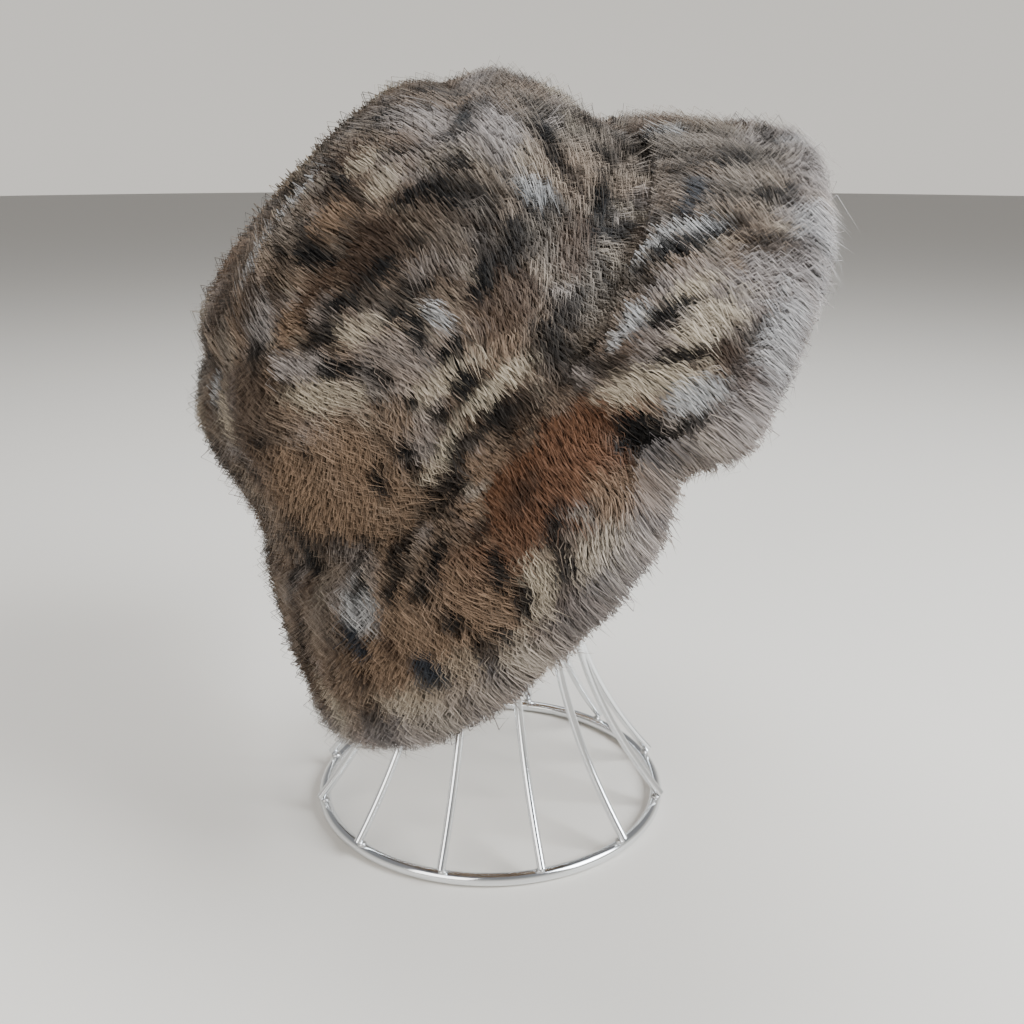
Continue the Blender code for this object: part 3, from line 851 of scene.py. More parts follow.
class Graph:
    """A node tree that is written as expressions."""

    def __init__(self, tree: bpy.types.NodeTree) -> None:
        """Wraps a tree."""
        self.tree = tree

    @staticmethod
    def _pick(sockets: Any, key: Union[int, str]) -> bpy.types.NodeSocket:
        """A socket by its number, or the first one in use by its name.

        Args:
            sockets: A node's sockets.
            key: Number or name.

        Returns:
            The socket.
        """
        if isinstance(key, int):
            return sockets[key]
        return next(socket for socket in sockets if socket.name == key and socket.enabled)

    def node(self, kind: str, settings: Optional[Dict[str, Any]] = None,
             inputs: Optional[Dict[Union[int, str], Value]] = None, output: Union[int, str] = 0) -> Wire:
        """Any node.

        Args:
            kind: Its type.
            settings: Its properties, set first. A ramp's stops are a list of places and colours.
            inputs: Values and links of its sockets, by name or number.
            output: The output that is wanted, by name or number among those in use.

        Returns:
            That output.
        """
        node = self.tree.nodes.new(kind)
        for name, value in (settings or {}).items():
            if name == "stops":
                self._set_stops(node.color_ramp, value)
            else:
                setattr(node, name, value)
        for key, value in (inputs or {}).items():
            self.feed(self._pick(node.inputs, key), value)
        outputs = [socket for socket in node.outputs if socket.enabled]
        return Wire(self, self._pick(outputs, output))

    @staticmethod
    def _set_stops(ramp: bpy.types.ColorRamp, stops: Sequence[Tuple[float, Colour]]) -> None:
        """Sets a ramp's stops.

        Args:
            ramp: The ramp.
            stops: Places and colours, in order.
        """
        while len(ramp.elements) < len(stops):
            ramp.elements.new(1.0)
        for element, (place, colour) in zip(ramp.elements, stops):
            element.position = place
            element.color = (*colour, 1.0)

    def feed(self, socket: bpy.types.NodeSocket, value: Value) -> None:
        """Links a wire to a socket, or sets the socket's own value.

        Args:
            socket: The socket.
            value: A wire or a value.
        """
        if isinstance(value, Wire):
            self.tree.links.new(value.socket, socket)
        elif socket.type == "RGBA" and len(value) == 3:
            socket.default_value = (*value, 1.0)
        else:
            socket.default_value = value

    def mix(self, share: Value, low: Value, high: Value) -> Wire:
        """A colour between two."""
        return self.node("ShaderNodeMix", {"data_type": "RGBA"}, {"Factor": share, "A": low, "B": high})

    def vector(self, operation: str, *values: Value) -> Wire:
        """One Vector Math node.

        Args:
            operation: What it does.
            values: Its inputs, in order.

        Returns:
            Its vector.
        """
        scaled = operation == "SCALE"
        inputs = {0: values[0], "Scale": values[1]} if scaled else dict(enumerate(values))
        return self.node("ShaderNodeVectorMath", {"operation": operation}, inputs)

    def attribute(self, name: str, output: str) -> Wire:
        """A shader's reading of a mesh attribute."""
        return self.node("ShaderNodeAttribute", {"attribute_name": name}, {}, output)

    def noise(self, place: Value, scale: float, detail: float) -> Wire:
        """A shader's noise, from 0 to 1."""
        return self.node("ShaderNodeTexNoise", {}, {"Vector": place, "Scale": scale, "Detail": detail}, "Fac")

    def bump(self, height: Value, strength: float, distance: float) -> Wire:
        """A normal that follows a height."""
        return self.node("ShaderNodeBump", {}, {"Height": height, "Strength": strength, "Distance": distance})

    def lit(self, colour: Value, value: Value) -> Wire:
        """A colour made lighter or darker."""
        return self.node("ShaderNodeHueSaturation", {}, {"Color": colour, "Value": value})

    def place(self) -> Wire:
        """A shader's Object coordinates."""
        return self.node("ShaderNodeTexCoord", {}, {}, "Object")

    def named(self, name: str, kind: str = "FLOAT_VECTOR") -> Wire:
        """A geometry tree's reading of a mesh attribute."""
        return self.node("GeometryNodeInputNamedAttribute", {"data_type": kind}, {"Name": name})

    def chance(self, low: Value, high: Value, seed: Value, kind: str = "FLOAT") -> Wire:
        """A random value for each point."""
        return self.node("FunctionNodeRandomValue", {"data_type": kind},
                         {"Min": low, "Max": high, "Seed": seed})

    def turned(self, up: Value, along: Value) -> Wire:
        """A turn that brings Z to one direction and X towards another."""
        return self.node("FunctionNodeAxesToRotation", {"primary_axis": "Z", "secondary_axis": "X"},
                         {"Primary Axis": up, "Secondary Axis": along})


class Finish:
    """Base of the finishes: makes the material and feeds its Principled shader."""

    name = "finish"

    def make(self) -> bpy.types.Material:
        """The material, made once.

        Returns:
            The material of this finish's name.
        """
        if self.name in bpy.data.materials:
            return bpy.data.materials[self.name]
        material = bpy.data.materials.new(self.name)
        material.use_nodes = True
        shader = material.node_tree.nodes["Principled BSDF"]
        graph = Graph(material.node_tree)
        for socket, value in self.sockets(graph).items():
            graph.feed(shader.inputs[socket], value)
        return material

    def sockets(self, graph: Graph) -> Dict[str, Value]:
        """What the shader's sockets hold.

        Args:
            graph: The material's tree.

        Returns:
            A value or a wire for each socket, by name.
        """
        raise NotImplementedError


@dataclass(frozen=True)
class CoatFinish(Finish):
    """The coat's hairs: dark at the root, partly their own colour and partly painted shade, the hide's marking
    above, and some pale at the tip.
    """

    name: str = "fur_coat"
    # Darkening at the root: partly the hairs' own darker colour, partly painted shade down between the hairs
    root: float = 0.45
    root_colour_and_shade_fade: float = 1.7
    shade_low: float = 0.74
    shade_span: float = 0.52
    tip_start: float = 0.45
    tip_fade: float = 1.8
    tipped_above: float = 0.45
    tipped_fade: float = 3.0
    tip_gain: float = 0.5
    pale: Colour = (0.60, 0.56, 0.50)
    pale_share: float = 0.12
    soft: float = 0.62
    roughness: float = 0.55
    specular: float = 0.16

    def sockets(self, graph: Graph) -> Dict[str, Value]:
        """What the shader's sockets hold.

        Args:
            graph: The material's tree.

        Returns:
            A value or a wire for each socket, by name.
        """
        tone = graph.attribute("tone", "Color")
        along = graph.attribute("along", "Fac")
        shade = graph.attribute("shade", "Fac")
        lit = graph.lit(tone, self.shade_low + self.shade_span * shade)
        # Darker towards the root: partly the hairs' own colour, partly painted shade
        body = graph.mix((along * self.root_colour_and_shade_fade).clamped(), graph.lit(tone, self.root), lit)
        tips = ((along - self.tip_start) * self.tip_fade).clamped()
        tips = tips * ((shade - self.tipped_above) * self.tipped_fade).clamped()
        bright = graph.lit(body, 1.0 + self.tip_gain * tips)
        flat = graph.node("ShaderNodeNewGeometry", {}, {}, "Normal")
        over_hide = graph.vector("NORMALIZE", graph.attribute("up", "Vector"))
        bent = graph.node("ShaderNodeMix", {"data_type": "VECTOR"},
                          {"Factor": self.soft, "A": flat, "B": over_hide})
        return {"Base Color": graph.mix(tips * self.pale_share, bright, self.pale),
                "Normal": graph.vector("NORMALIZE", bent),
                "Roughness": self.roughness, "Specular IOR Level": self.specular}


@dataclass(frozen=True)
class UnderfurFinish(Finish):
    """The dense short fur below the coat, with fine streaks, darker than the coat's marking partly for its own
    colour and partly as painted shade.
    """

    name: str = "underfur"
    # How dark the underfur is: partly its own colour, partly painted shade under the coat
    depth: float = 0.5
    contrast: float = 0.5
    roughness: float = 0.9

    def sockets(self, graph: Graph) -> Dict[str, Value]:
        """What the shader's sockets hold.

        Args:
            graph: The material's tree.

        Returns:
            A value or a wire for each socket, by name.
        """
        tone = graph.attribute("tone", "Color")
        wisps = graph.noise(graph.place(), scale=900.0, detail=3.0)
        return {"Base Color": graph.mix(wisps * self.contrast, graph.lit(tone, self.depth), tone),
                "Normal": graph.bump(wisps, strength=0.8, distance=0.001), "Roughness": self.roughness}


@dataclass(frozen=True)
class SuedeFinish(Finish):
    """The pelt's inner side: matt suede with a napped, mottled face."""

    name: str = "suede"
    dark: Colour = (0.24, 0.165, 0.105)
    light: Colour = (0.42, 0.31, 0.21)
    cloud_start: float = 0.35
    cloud_fade: float = 1.9
    nap_mottle: float = 0.35
    relief: float = 0.6
    roughness: float = 0.82
    cloud_roughness: float = 0.12
    sheen: float = 0.25

    def sockets(self, graph: Graph) -> Dict[str, Value]:
        """What the shader's sockets hold.

        Args:
            graph: The material's tree.

        Returns:
            A value or a wire for each socket, by name.
        """
        place = graph.place()
        clouds = graph.noise(place, scale=38.0, detail=5.0)
        nap = graph.noise(place, scale=1400.0, detail=2.0)
        grain = graph.node("ShaderNodeTexVoronoi", {}, {"Vector": place, "Scale": 420.0}, "Distance")
        share = ((clouds - self.cloud_start) * self.cloud_fade + (nap - 0.5) * self.nap_mottle).clamped()
        height = nap * self.relief + grain * self.relief
        return {"Base Color": graph.mix(share, self.dark, self.light),
                "Normal": graph.bump(height, strength=0.55, distance=0.0006),
                "Roughness": self.roughness + self.cloud_roughness * clouds, "Sheen Weight": self.sheen}


@dataclass(frozen=True)
class ThreadFinish(Finish):
    """Waxed sewing thread."""

    name: str = "thread"
    colour: Colour = (0.30, 0.23, 0.16)
    shadow: float = 0.6
    roughness: float = 0.55
    ply_roughness: float = 0.2

    def sockets(self, graph: Graph) -> Dict[str, Value]:
        """What the shader's sockets hold.

        Args:
            graph: The material's tree.

        Returns:
            A value or a wire for each socket, by name.
        """
        ply = graph.noise(graph.place(), scale=1600.0, detail=2.0)
        return {"Base Color": graph.mix(ply, tuple(self.shadow * c for c in self.colour), self.colour),
                "Roughness": self.roughness + self.ply_roughness * ply}


@dataclass(frozen=True)
class BrightWireFinish(Finish):
    """Plated steel wire: bright, with faint drawn lines and a few dull places."""

    name: str = "bright_wire"
    bright: Colour = (0.74, 0.75, 0.76)
    dull: Colour = (0.55, 0.56, 0.58)
    dull_above: float = 0.56
    dull_fade: float = 6.0
    roughness: float = 0.10
    dull_roughness: float = 0.16
    line_roughness: float = 0.06

    def sockets(self, graph: Graph) -> Dict[str, Value]:
        """What the shader's sockets hold.

        Args:
            graph: The material's tree.

        Returns:
            A value or a wire for each socket, by name.
        """
        place = graph.place()
        clouds = graph.noise(place, scale=55.0, detail=6.0)
        fine = graph.noise(place, scale=900.0, detail=3.0)
        worn = ((clouds - self.dull_above) * self.dull_fade).clamped()
        return {"Base Color": graph.mix(worn, self.bright, self.dull),
                "Roughness": self.roughness + self.dull_roughness * worn + self.line_roughness * fine,
                "Normal": graph.bump(fine, strength=0.12, distance=0.0002), "Metallic": 1.0}


@dataclass(frozen=True)
class WeldFinish(Finish):
    """The welds between wires: plated like them, but rougher and greyer."""

    name: str = "weld"
    colour: Colour = (0.62, 0.62, 0.62)
    pitted: float = 0.7
    roughness: float = 0.24
    pit_roughness: float = 0.2

    def sockets(self, graph: Graph) -> Dict[str, Value]:
        """What the shader's sockets hold.

        Args:
            graph: The material's tree.

        Returns:
            A value or a wire for each socket, by name.
        """
        pits = graph.noise(graph.place(), scale=1100.0, detail=3.0)
        return {"Base Color": graph.mix(pits, tuple(self.pitted * c for c in self.colour), self.colour),
                "Roughness": self.roughness + self.pit_roughness * pits,
                "Normal": graph.bump(pits, strength=0.4, distance=0.0003), "Metallic": 1.0}


@dataclass(frozen=True)
class FloorFinish(Finish):
    """A plain pale floor."""

    name: str = "pale_floor"
    colour: Colour = (0.74, 0.71, 0.66)
    roughness: float = 0.6

    def sockets(self, graph: Graph) -> Dict[str, Value]:
        """Its colour and roughness alone."""
        return {"Base Color": self.colour, "Roughness": self.roughness}


class GeometryTree:
    """A Geometry Nodes tree with named inputs, run on an object and turned into a plain mesh."""

    def __init__(self, name: str, inputs: Dict[str, str]) -> None:
        """Makes the tree.

        Args:
            name: The tree's name.
            inputs: Name and kind of each input after the geometry.
        """
        self.tree = bpy.data.node_groups.new(name, "GeometryNodeTree")
        self.graph = Graph(self.tree)
        faces = self.tree.interface
        faces.new_socket("Geometry", in_out="INPUT", socket_type="NodeSocketGeometry")
        faces.new_socket("Geometry", in_out="OUTPUT", socket_type="NodeSocketGeometry")
        self.identifiers: Dict[str, str] = {}
        for label, kind in inputs.items():
            socket = faces.new_socket(label, in_out="INPUT", socket_type=f"NodeSocket{kind}")
            self.identifiers[label] = socket.identifier
        self.source = self.tree.nodes.new("NodeGroupInput")

    def read(self, name: str) -> Wire:
        """One of the tree's inputs."""
        return Wire(self.graph, self.source.outputs[name])

    def points(self) -> Wire:
        """A point at each vertex of the object that the tree runs on."""
        return self.graph.node("GeometryNodeMeshToPoints", {}, {"Mesh": self.read("Geometry")})

    def scatter(self, points: Wire, pattern: str, settings: Dict[str, Value]) -> Wire:
        """Sets the object of one of the inputs on each point.

        Args:
            points: The points.
            pattern: The input's name.
            settings: Turn and scale of the instances, by socket.

        Returns:
            The instances.
        """
        one = self.graph.node("GeometryNodeObjectInfo", {}, {"Object": self.read(pattern)}, "Geometry")
        return self.graph.node("GeometryNodeInstanceOnPoints", {},
                               {"Points": points, "Instance": one, **settings})

    def close(self, geometry: Wire, finish: Finish) -> None:
        """Ends the tree in Realize Instances and Set Material.

        Args:
            geometry: What the tree makes.
            finish: Its finish.
        """
        real = self.graph.node("GeometryNodeRealizeInstances", {}, {"Geometry": geometry})
        dressed = self.graph.node("GeometryNodeSetMaterial", {}, {"Geometry": real, "Material": finish.make()})
        sink = self.tree.nodes.new("NodeGroupOutput")
        self.graph.feed(sink.inputs[0], dressed)

    def run(self, obj: bpy.types.Object, name: str, values: Dict[str, Any]) -> bpy.types.Object:
        """Runs the tree on an object.

        Args:
            obj: The object that it runs on, which is removed.
            name: Name of the result.
            values: Values of the tree's inputs.

        Returns:
            A plain mesh object.
        """
        modifier = obj.modifiers.new("nodes", "NODES")
        modifier.node_group = self.tree
        for label, value in values.items():
            modifier[self.identifiers[label]] = value
        graph = bpy.context.evaluated_depsgraph_get()
        mesh = bpy.data.meshes.new_from_object(obj.evaluated_get(graph), depsgraph=graph)
        mesh.name = name
        obj.modifiers.clear()
        bpy.data.objects.remove(obj, do_unlink=True)
        result = bpy.data.objects.new(name, mesh)
        bpy.context.scene.collection.objects.link(result)
        mesh.shade_smooth()
        return result


def ride(obj: bpy.types.Object, slot: str, *nodes: str) -> None:
    """Lets a finished piece ride on the body and stand for nodes.

    Args:
        obj: The piece.
        slot: The name of a material slot, which is not used.
        nodes: The nodes that it replaces.
    """
    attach(obj, BODY)
    if nodes:
        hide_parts(*nodes)
    obj.data.calc_loop_triangles()
    log.info("%s: %d triangles", obj.name, len(obj.data.loop_triangles))


def over(colours: np.ndarray, tone: Tone, share: np.ndarray) -> np.ndarray:
    """Colours with a share of a tone over them."""
    share = share[..., None]
    return colours * (1 - share) + np.array(tone.value) * share


@dataclass
class Painter:
    """Colours of the fur: a mottled ground, the charted markings, and drawn ones where the chart ends."""

    view: PhotoView
    axis: Vector
    seed: int = 5
    drawn: int = 300
    hidden_below: float = 0.05
    drawn_wide: Tuple[float, float] = (7.0, 12.0)
    drawn_long: Tuple[float, float] = (1.2, 2.4)
    drawn_strength: Tuple[float, float] = (0.5, 0.95)
    pale_growth: float = 2.0
    growth_fade: float = 0.4
    wobble: float = 0.004
    wobble_size: float = 0.006
    wobble_shift: float = 3.1
    ragged: float = 1.1
    ragged_size: float = 0.0035
    ragged_shift: float = 9.7
    mark_reach: float = 1.25
    mark_edge: float = 0.5
    mark_depth: float = 30.0
    rim_low: float = 0.6
    rim_ragged: float = 0.8
    streaks_round: float = 0.1
    streaks_down: float = 0.4
    ground: Noise = field(init=False)
    spots: List[Tuple[np.ndarray, np.ndarray, Mark]] = field(init=False, default_factory=list)

    def __post_init__(self) -> None:
        """Makes the ground's noise."""
        self.ground = Noise(self.seed)

    def chart(self, pelts: Sequence[Pelt], length: float) -> None:
        """Finds each marking's place on the hat.

        Args:
            pelts: The hat's fur.
            length: Length of the coat.
        """
        points = np.concatenate([pelt.seen(length).reshape(-1, 3) for pelt in pelts])
        ups = np.concatenate([pelt.up.reshape(-1, 3) for pelt in pelts])
        faces, start = [], 0
        for pelt in pelts:
            rows, columns = pelt.way.shape
            faces += [tuple(start + i for i in f) for f in grid_faces(rows, columns, True)]
            start += rows * columns
        tree = BVHTree.FromPolygons([tuple(p) for p in points], faces)
        camera = self.view.placing(self.axis)
        right, above = camera.col[0].to_3d(), camera.col[1].to_3d()
        middle = Vector(points.mean(axis=0))
        for mark in MARKS:
            ray = self.view.toward(self.axis, mark.px, mark.py)
            place, normal, *_ = tree.ray_cast(camera.translation, ray)
            if place is None:
                beside = camera.translation + ray * (middle - camera.translation).dot(ray)
                place, normal, *_ = tree.find_nearest(beside)
            a = math.radians(mark.turn)
            self._add(place, normal, right * math.cos(a) + above * math.sin(a), mark)
        self._draw_hidden(points, ups, np.array(camera.translation))

    def _add(self, place: Vector, normal: Vector, direction: Vector, mark: Mark) -> None:
        """Keeps a marking's place and its own axes.

        Args:
            place: Its middle.
            normal: Out of the fur.
            direction: Roughly along the marking.
            mark: Its row.
        """
        along = (direction - normal * direction.dot(normal)).normalized()
        across = normal.cross(along)
        self.spots.append((np.array(place), np.array([along, across, normal]), mark))

    def _draw_hidden(self, points: np.ndarray, ups: np.ndarray, eye: np.ndarray) -> None:
        """Draws markings where the chart doesn't reach.

        Args:
            points: Places where the coat shows.
            ups: Their outward directions.
            eye: Where the camera stands.
        """
        rng = np.random.default_rng(self.seed)
        facing = (unit(eye - points) * ups).sum(axis=-1)
        hidden = np.flatnonzero(facing < self.hidden_below)
        for index in rng.choice(hidden, self.drawn, replace=False):
            tone = HIDDEN_TONES[rng.integers(len(HIDDEN_TONES))]
            grow = 1.0 if tone in (Tone.BLACK, Tone.SOOT) else self.pale_growth
            wide = rng.uniform(*self.drawn_wide) * grow
            long = wide * rng.uniform(*self.drawn_long)
            mark = Mark(0, 0, long, wide, 0, tone, rng.uniform(*self.drawn_strength) / grow ** self.growth_fade)
            self._add(Vector(points[index]), Vector(ups[index]), Vector(rng.normal(size=3)), mark)

    def paint(self, pelt: Pelt, length: float) -> np.ndarray:
        """Colours of a pelt.

        Args:
            pelt: The pelt.
            length: Length of the coat.

        Returns:
            A colour for each of its places.
        """
        places = pelt.seen(length)
        colours = self._ground(pelt, places)
        wobble = np.stack([self.ground.layered(places + self.wobble_shift * k, self.wobble_size, 2) - 0.5
                           for k in range(3)], axis=-1)
        warped = places + self.wobble * wobble
        ragged = self.ground.layered(places + self.ragged_shift, self.ragged_size, 2)
        for place, axes, mark in self.spots:
            local = (warped - place) @ axes.T / self.view.pixel
            far = np.sqrt((local[..., 0] / mark.half_long) ** 2 + (local[..., 1] / mark.half_wide) ** 2
                          + (local[..., 2] / max(mark.half_long, self.mark_depth)) ** 2)
            share = eased((self.mark_reach - far + self.ragged * (ragged - 0.5)) / self.mark_edge)
            colours = over(colours, mark.tone, mark.strength * share)
        if pelt.pale is not None:
            colours = over(colours, Tone.RIM, pelt.pale * (self.rim_low + self.rim_ragged * ragged))
        return colours

    def _ground(self, pelt: Pelt, places: np.ndarray) -> np.ndarray:
        """The mottled ground.

        Args:
            pelt: The pelt.
            places: Where its coat shows.

        Returns:
            A colour for each of its places.
        """
        a = np.radians(pelt.azimuth)
        flow = np.stack([np.cos(a) * self.streaks_round, np.sin(a) * self.streaks_round,
                         pelt.way * self.streaks_down], axis=-1)
        colours = np.broadcast_to(np.array(Tone.GREY.value), places.shape)
        for layer in GROUND:
            value = self.ground.layered((flow if layer.streaked else places) + layer.shift, layer.scale)
            colours = over(colours, layer.tone, layer.strength * eased((value - layer.start) / layer.span))
        return colours


@dataclass
class FurCoat:
    """The fur: an underfur skin on each piece of leather, and the coat's and guard hairs on it."""

    form: HatForm
    painter: Painter
    sizes: FurSizes = field(default_factory=FurSizes)
    coat: Hair = Hair(1.66e6, 0.0132, 0.00040, 1.0)
    guard: Hair = Hair(1.3e5, 0.0178, 0.00030, 1.6)
    clump_size: float = 0.0042
    clump_pull: float = 0.24
    stray: float = 0.20
    stray_up: float = 0.6
    lift: float = 0.10
    length_range: Tuple[float, float] = (0.72, 1.18)
    width_range: Tuple[float, float] = (0.7, 1.15)
    height_range: Tuple[float, float] = (0.75, 1.2)
    gravity: float = 0.25
    swirl: float = 72.0
    wide_swirl: float = 0.030
    fine_swirl: float = 0.009
    fine_shift: float = 0.7
    tuft: float = 0.008
    tuft_shift: float = 1.9
    tuft_low: float = 0.78
    tuft_span: float = 0.44
    rim_pale: float = 0.38
    rim_reach: float = 0.009
    rim_swirl: float = 0.25
    sector_turn: int = 12
    seed: int = 11
    seed_step: float = 7.0

    def __post_init__(self) -> None:
        """Makes the noise and the tree."""
        self.noise = Noise(self.seed)
        self.tree = self._hair_tree()

    def build(self) -> None:
        """Makes every piece of the fur."""
        pelts = {"crown_tip": self._tip(), "crown_side": self._side(), "brim": self._brim()}
        self.painter.chart(list(pelts.values()), self.coat.length)
        for name, pelt in pelts.items():
            tones = self.painter.paint(pelt, self.coat.length)
            ride(self._underfur(f"{name}_underfur", pelt, tones), "fur", f"{name}_fur")
            sectors = SECTORS[name]
            for number, sector in enumerate(sectors):
                piece = f"{name}_coat_{sector}".rstrip("_")
                self._hairs(piece, pelt, tones, self.coat, number, len(sectors))
            self._hairs(f"{name}_guard_hairs", pelt, tones, self.guard)

    def _columns(self) -> np.ndarray:
        """Azimuths of the grid's columns."""
        return np.arange(self.sizes.columns) * 360 / self.sizes.columns

    def _parted(self, way: np.ndarray) -> np.ndarray:
        """Share of the fur's depth that the parting at the tip seam leaves."""
        return 1 - self.sizes.seam_dip * bell(way - self.form.tip_seam, self.sizes.seam_parting)

    def _filled(self, azimuth: np.ndarray, away: np.ndarray) -> np.ndarray:
        """How much fuller the fur is by the brim seam, where it isn't pressed down into a parting."""
        return self._far(azimuth) * bell(away, self.sizes.fill_spread)

    def _far(self, azimuth: np.ndarray) -> np.ndarray:
        """From 0 by the wearer's right temple, where the brim seam shows, to 1 on the other side."""
        return 1 - bell((azimuth - self.sizes.near_side + 180) % 360 - 180, self.sizes.near_spread)

    def _combed(self, comb: np.ndarray, up: np.ndarray, places: np.ndarray) -> np.ndarray:
        """Downhill directions, drawn down by their weight and swirled a little.

        Args:
            comb: The downhill directions.
            up: The outward directions.
            places: Where they are.

        Returns:
            The directions in which the hairs lie.
        """
        comb = comb + self.gravity * np.array([0, 0, -1.0])
        comb = unit(comb - up * (comb * up).sum(axis=-1, keepdims=True))
        wide = self.noise.layered(places, self.wide_swirl, 2) - 0.5
        fine = self.noise.layered(places + self.fine_shift, self.fine_swirl, 2) - 0.5
        turn = np.radians(self.swirl * (wide + fine))[..., None]
        return comb * np.cos(turn) + np.cross(up, comb) * np.sin(turn)

    def _tufted(self, places: np.ndarray) -> np.ndarray:
        """Share of the coat's length that each tuft has."""
        return self.tuft_low + self.tuft_span * self.noise.layered(places + self.tuft_shift, self.tuft, 2)

    def _crown(self, ways: np.ndarray, pole: Optional[np.ndarray]) -> Pelt:
        """A pelt of the crown.

        Args:
            ways: Ways down from the tip's centre, one for each row.
            pole: The tip's centre, where the pelt closes.

        Returns:
            The pelt.
        """
        azimuth, way = np.meshgrid(self._columns(), ways)
        place, up, down = self.form.read(self.form.crown, azimuth, way, self.form.crown_step)
        fill = self._filled(azimuth, way - self.form.crown_length)
        depth = self.sizes.underfur * self._parted(way) + self.sizes.fill * fill
        coat = self._parted(way) * self._tufted(place) * (1 + self.sizes.fill_coat * fill)
        return Pelt(place, up, self._combed(down, up, place), azimuth, way, depth, coat, pole)

    def _tip(self) -> Pelt:
        """The round top panel's pelt.

        Returns:
            The pelt, which closes at the tip's centre.
        """
        edge = self.form.tip_seam - self.form.sizes.clearance / 2
        ways = np.linspace(edge / self.sizes.tip_rows / 2, edge, self.sizes.tip_rows)
        return self._crown(ways, self.form.crown(np.array(0.0), np.array(0.0)))

    def _side(self) -> Pelt:
        """The side band's pelt.

        Returns:
            The pelt, which hangs a little over the brim seam.
        """
        start = self.form.tip_seam + self.form.sizes.clearance / 2
        end = self.form.crown_length + self.sizes.overhang * 0.5
        return self._crown(np.linspace(start, end, self.sizes.side_rows), None)

    def _brim(self) -> Pelt:
        """The brim's pelt.

        Returns:
            The pelt, which turns round the rim and ends under it.
        """
        s, form = self.sizes, self.form
        azimuth = self._columns()
        width = form.brim_width(azimuth)
        parting = form.sizes.brim_parting * (1 - s.far_parting_cut * self._far(azimuth))
        low = s.seam_coat + s.seam_coat_far * self._far(azimuth)

        def even(value: float) -> np.ndarray:
            """One value all round."""
            return np.full_like(azimuth, value)

        rows = []
        for share in np.linspace(0, 1, s.brim_rows):
            place, up, down = form.read(form.brim, azimuth, even(share), form.brim_step)
            rise = eased(share * width / parting)
            fill = self._filled(azimuth, share * width - s.fill_shift * s.fill_spread)
            depth = 2 * form.sizes.clearance + rise * (s.underfur + s.fill * fill)
            way = form.crown_length + share * width
            rows.append((place, up, down, way, depth, low + (s.brim_coat - low) * rise))
        place, up, down = form.read(form.brim, azimuth, even(1.0), form.brim_step)
        middle = place - up * form.sizes.hide / 2
        for angle in s.rim_angles:
            a = math.radians(angle)
            out = up * math.cos(a) + down * math.sin(a)
            depth = even(s.rim_underfur + (s.under_depth - s.rim_underfur) * angle / 180)
            way = form.crown_length + width + s.rim_way * angle / 180
            coat = even(s.rim_coat - s.rim_coat_cut * angle / 180)
            rows.append((middle + out * form.sizes.hide / 2, out, down, way, depth, coat))
        for k in range(s.under_rows):
            back = k / (s.under_rows - 1)
            share = 1 - back * form.sizes.under_turn / form.sizes.brim_width
            place, up, down = form.read(form.brim, azimuth, even(share), form.brim_step)
            depth = even(s.under_depth * (1 - s.under_thinning * back))
            way = form.crown_length + width + s.rim_way + back * form.sizes.under_turn
            coat = even(s.under_coat - s.under_coat_cut * back)
            rows.append((place - up * form.sizes.hide, -up, down, way, depth, coat))
        place, up, down, way, depth, coat = (np.array(column) for column in zip(*rows))
        comb = self._combed(down, up, place)
        turned = slice(s.brim_rows, None)
        comb[turned] = unit(down[turned] + self.rim_swirl * (comb[turned] - down[turned]))
        pale = self.rim_pale * bell(way - form.crown_length - width, self.rim_reach)
        azimuth = np.broadcast_to(azimuth, way.shape)
        return Pelt(place, up, comb, azimuth, way, depth, coat * self._tufted(place), pale=pale)

    def _underfur(self, name: str, pelt: Pelt, tones: np.ndarray) -> bpy.types.Object:
        """The closed skin of dense short fur.

        Args:
            name: Name of the piece.
            pelt: The pelt.
            tones: Its colours.

        Returns:
            The piece.
        """
        gap = self.form.sizes.clearance
        step = self.sizes.skin_step
        inner = (pelt.place + pelt.up * gap)[:, ::step]
        poles: List[np.ndarray] = []
        if pelt.pole is not None:
            top = self.form.to_world(pelt.pole)
            axis = self.form.turn[:, 2]
            poles = [top + axis * self.sizes.underfur, top + axis * gap]
        skin = shell(name, pelt.skin()[:, ::step], inner, poles)
        colours = np.concatenate([tones[:, ::step], tones[::-1, ::step]]).reshape(-1, 3)
        if poles:
            colours = np.concatenate([colours, tones[0][:1], tones[0][:1]])
        write_attribute(skin.data, "tone", colours)
        skin.data.materials.append(UnderfurFinish().make())
        return skin

    def _hairs(self, name: str, pelt: Pelt, tones: np.ndarray, hair: Hair,
               number: int = 0, count: int = 1) -> None:
        """The hairs of one sector of a pelt.

        Args:
            name: Name of the piece.
            pelt: The pelt.
            tones: Its colours.
            hair: The kind of hair.
            number: Which of the sectors this is.
            count: How many there are.
        """
        columns = self.sizes.columns
        first, last = columns * number // count, columns * (number + 1) // count
        turn = [(column + columns // self.sector_turn) % columns for column in range(first, last + (count > 1))]

        def part(values: np.ndarray) -> np.ndarray:
            """The sector's columns, as a list of values."""
            picked = values[:, turn]
            return picked.reshape(-1, *picked.shape[2:])

        roots = part(pelt.skin()) - part(pelt.up) * self.sizes.root_sunk
        faces = grid_faces(len(pelt.way), len(turn), count == 1)
        base = mesh_object(f"{name}_base", roots, faces, recalc=False)
        for label, values in (("up", pelt.up), ("comb", pelt.comb), ("grow", pelt.coat), ("tone", tones)):
            write_attribute(base.data, label, part(values))
        blade = self._blade()
        hairs = self.tree.run(base, name, {
            "Blade": blade, "Density": hair.density, "Seed": self.seed + number, "Length": hair.length,
            "Width": hair.width, "Clump Size": self.clump_size, "Clump Pull": self.clump_pull,
            "Stray": self.stray * hair.stray, "Lift": self.lift * (hair.stray - 1)})
        bpy.data.objects.remove(blade, do_unlink=True)
        for extra in ("comb", "grow"):
            if extra in hairs.data.attributes:
                hairs.data.attributes.remove(hairs.data.attributes[extra])
        ride(hairs, "fur")

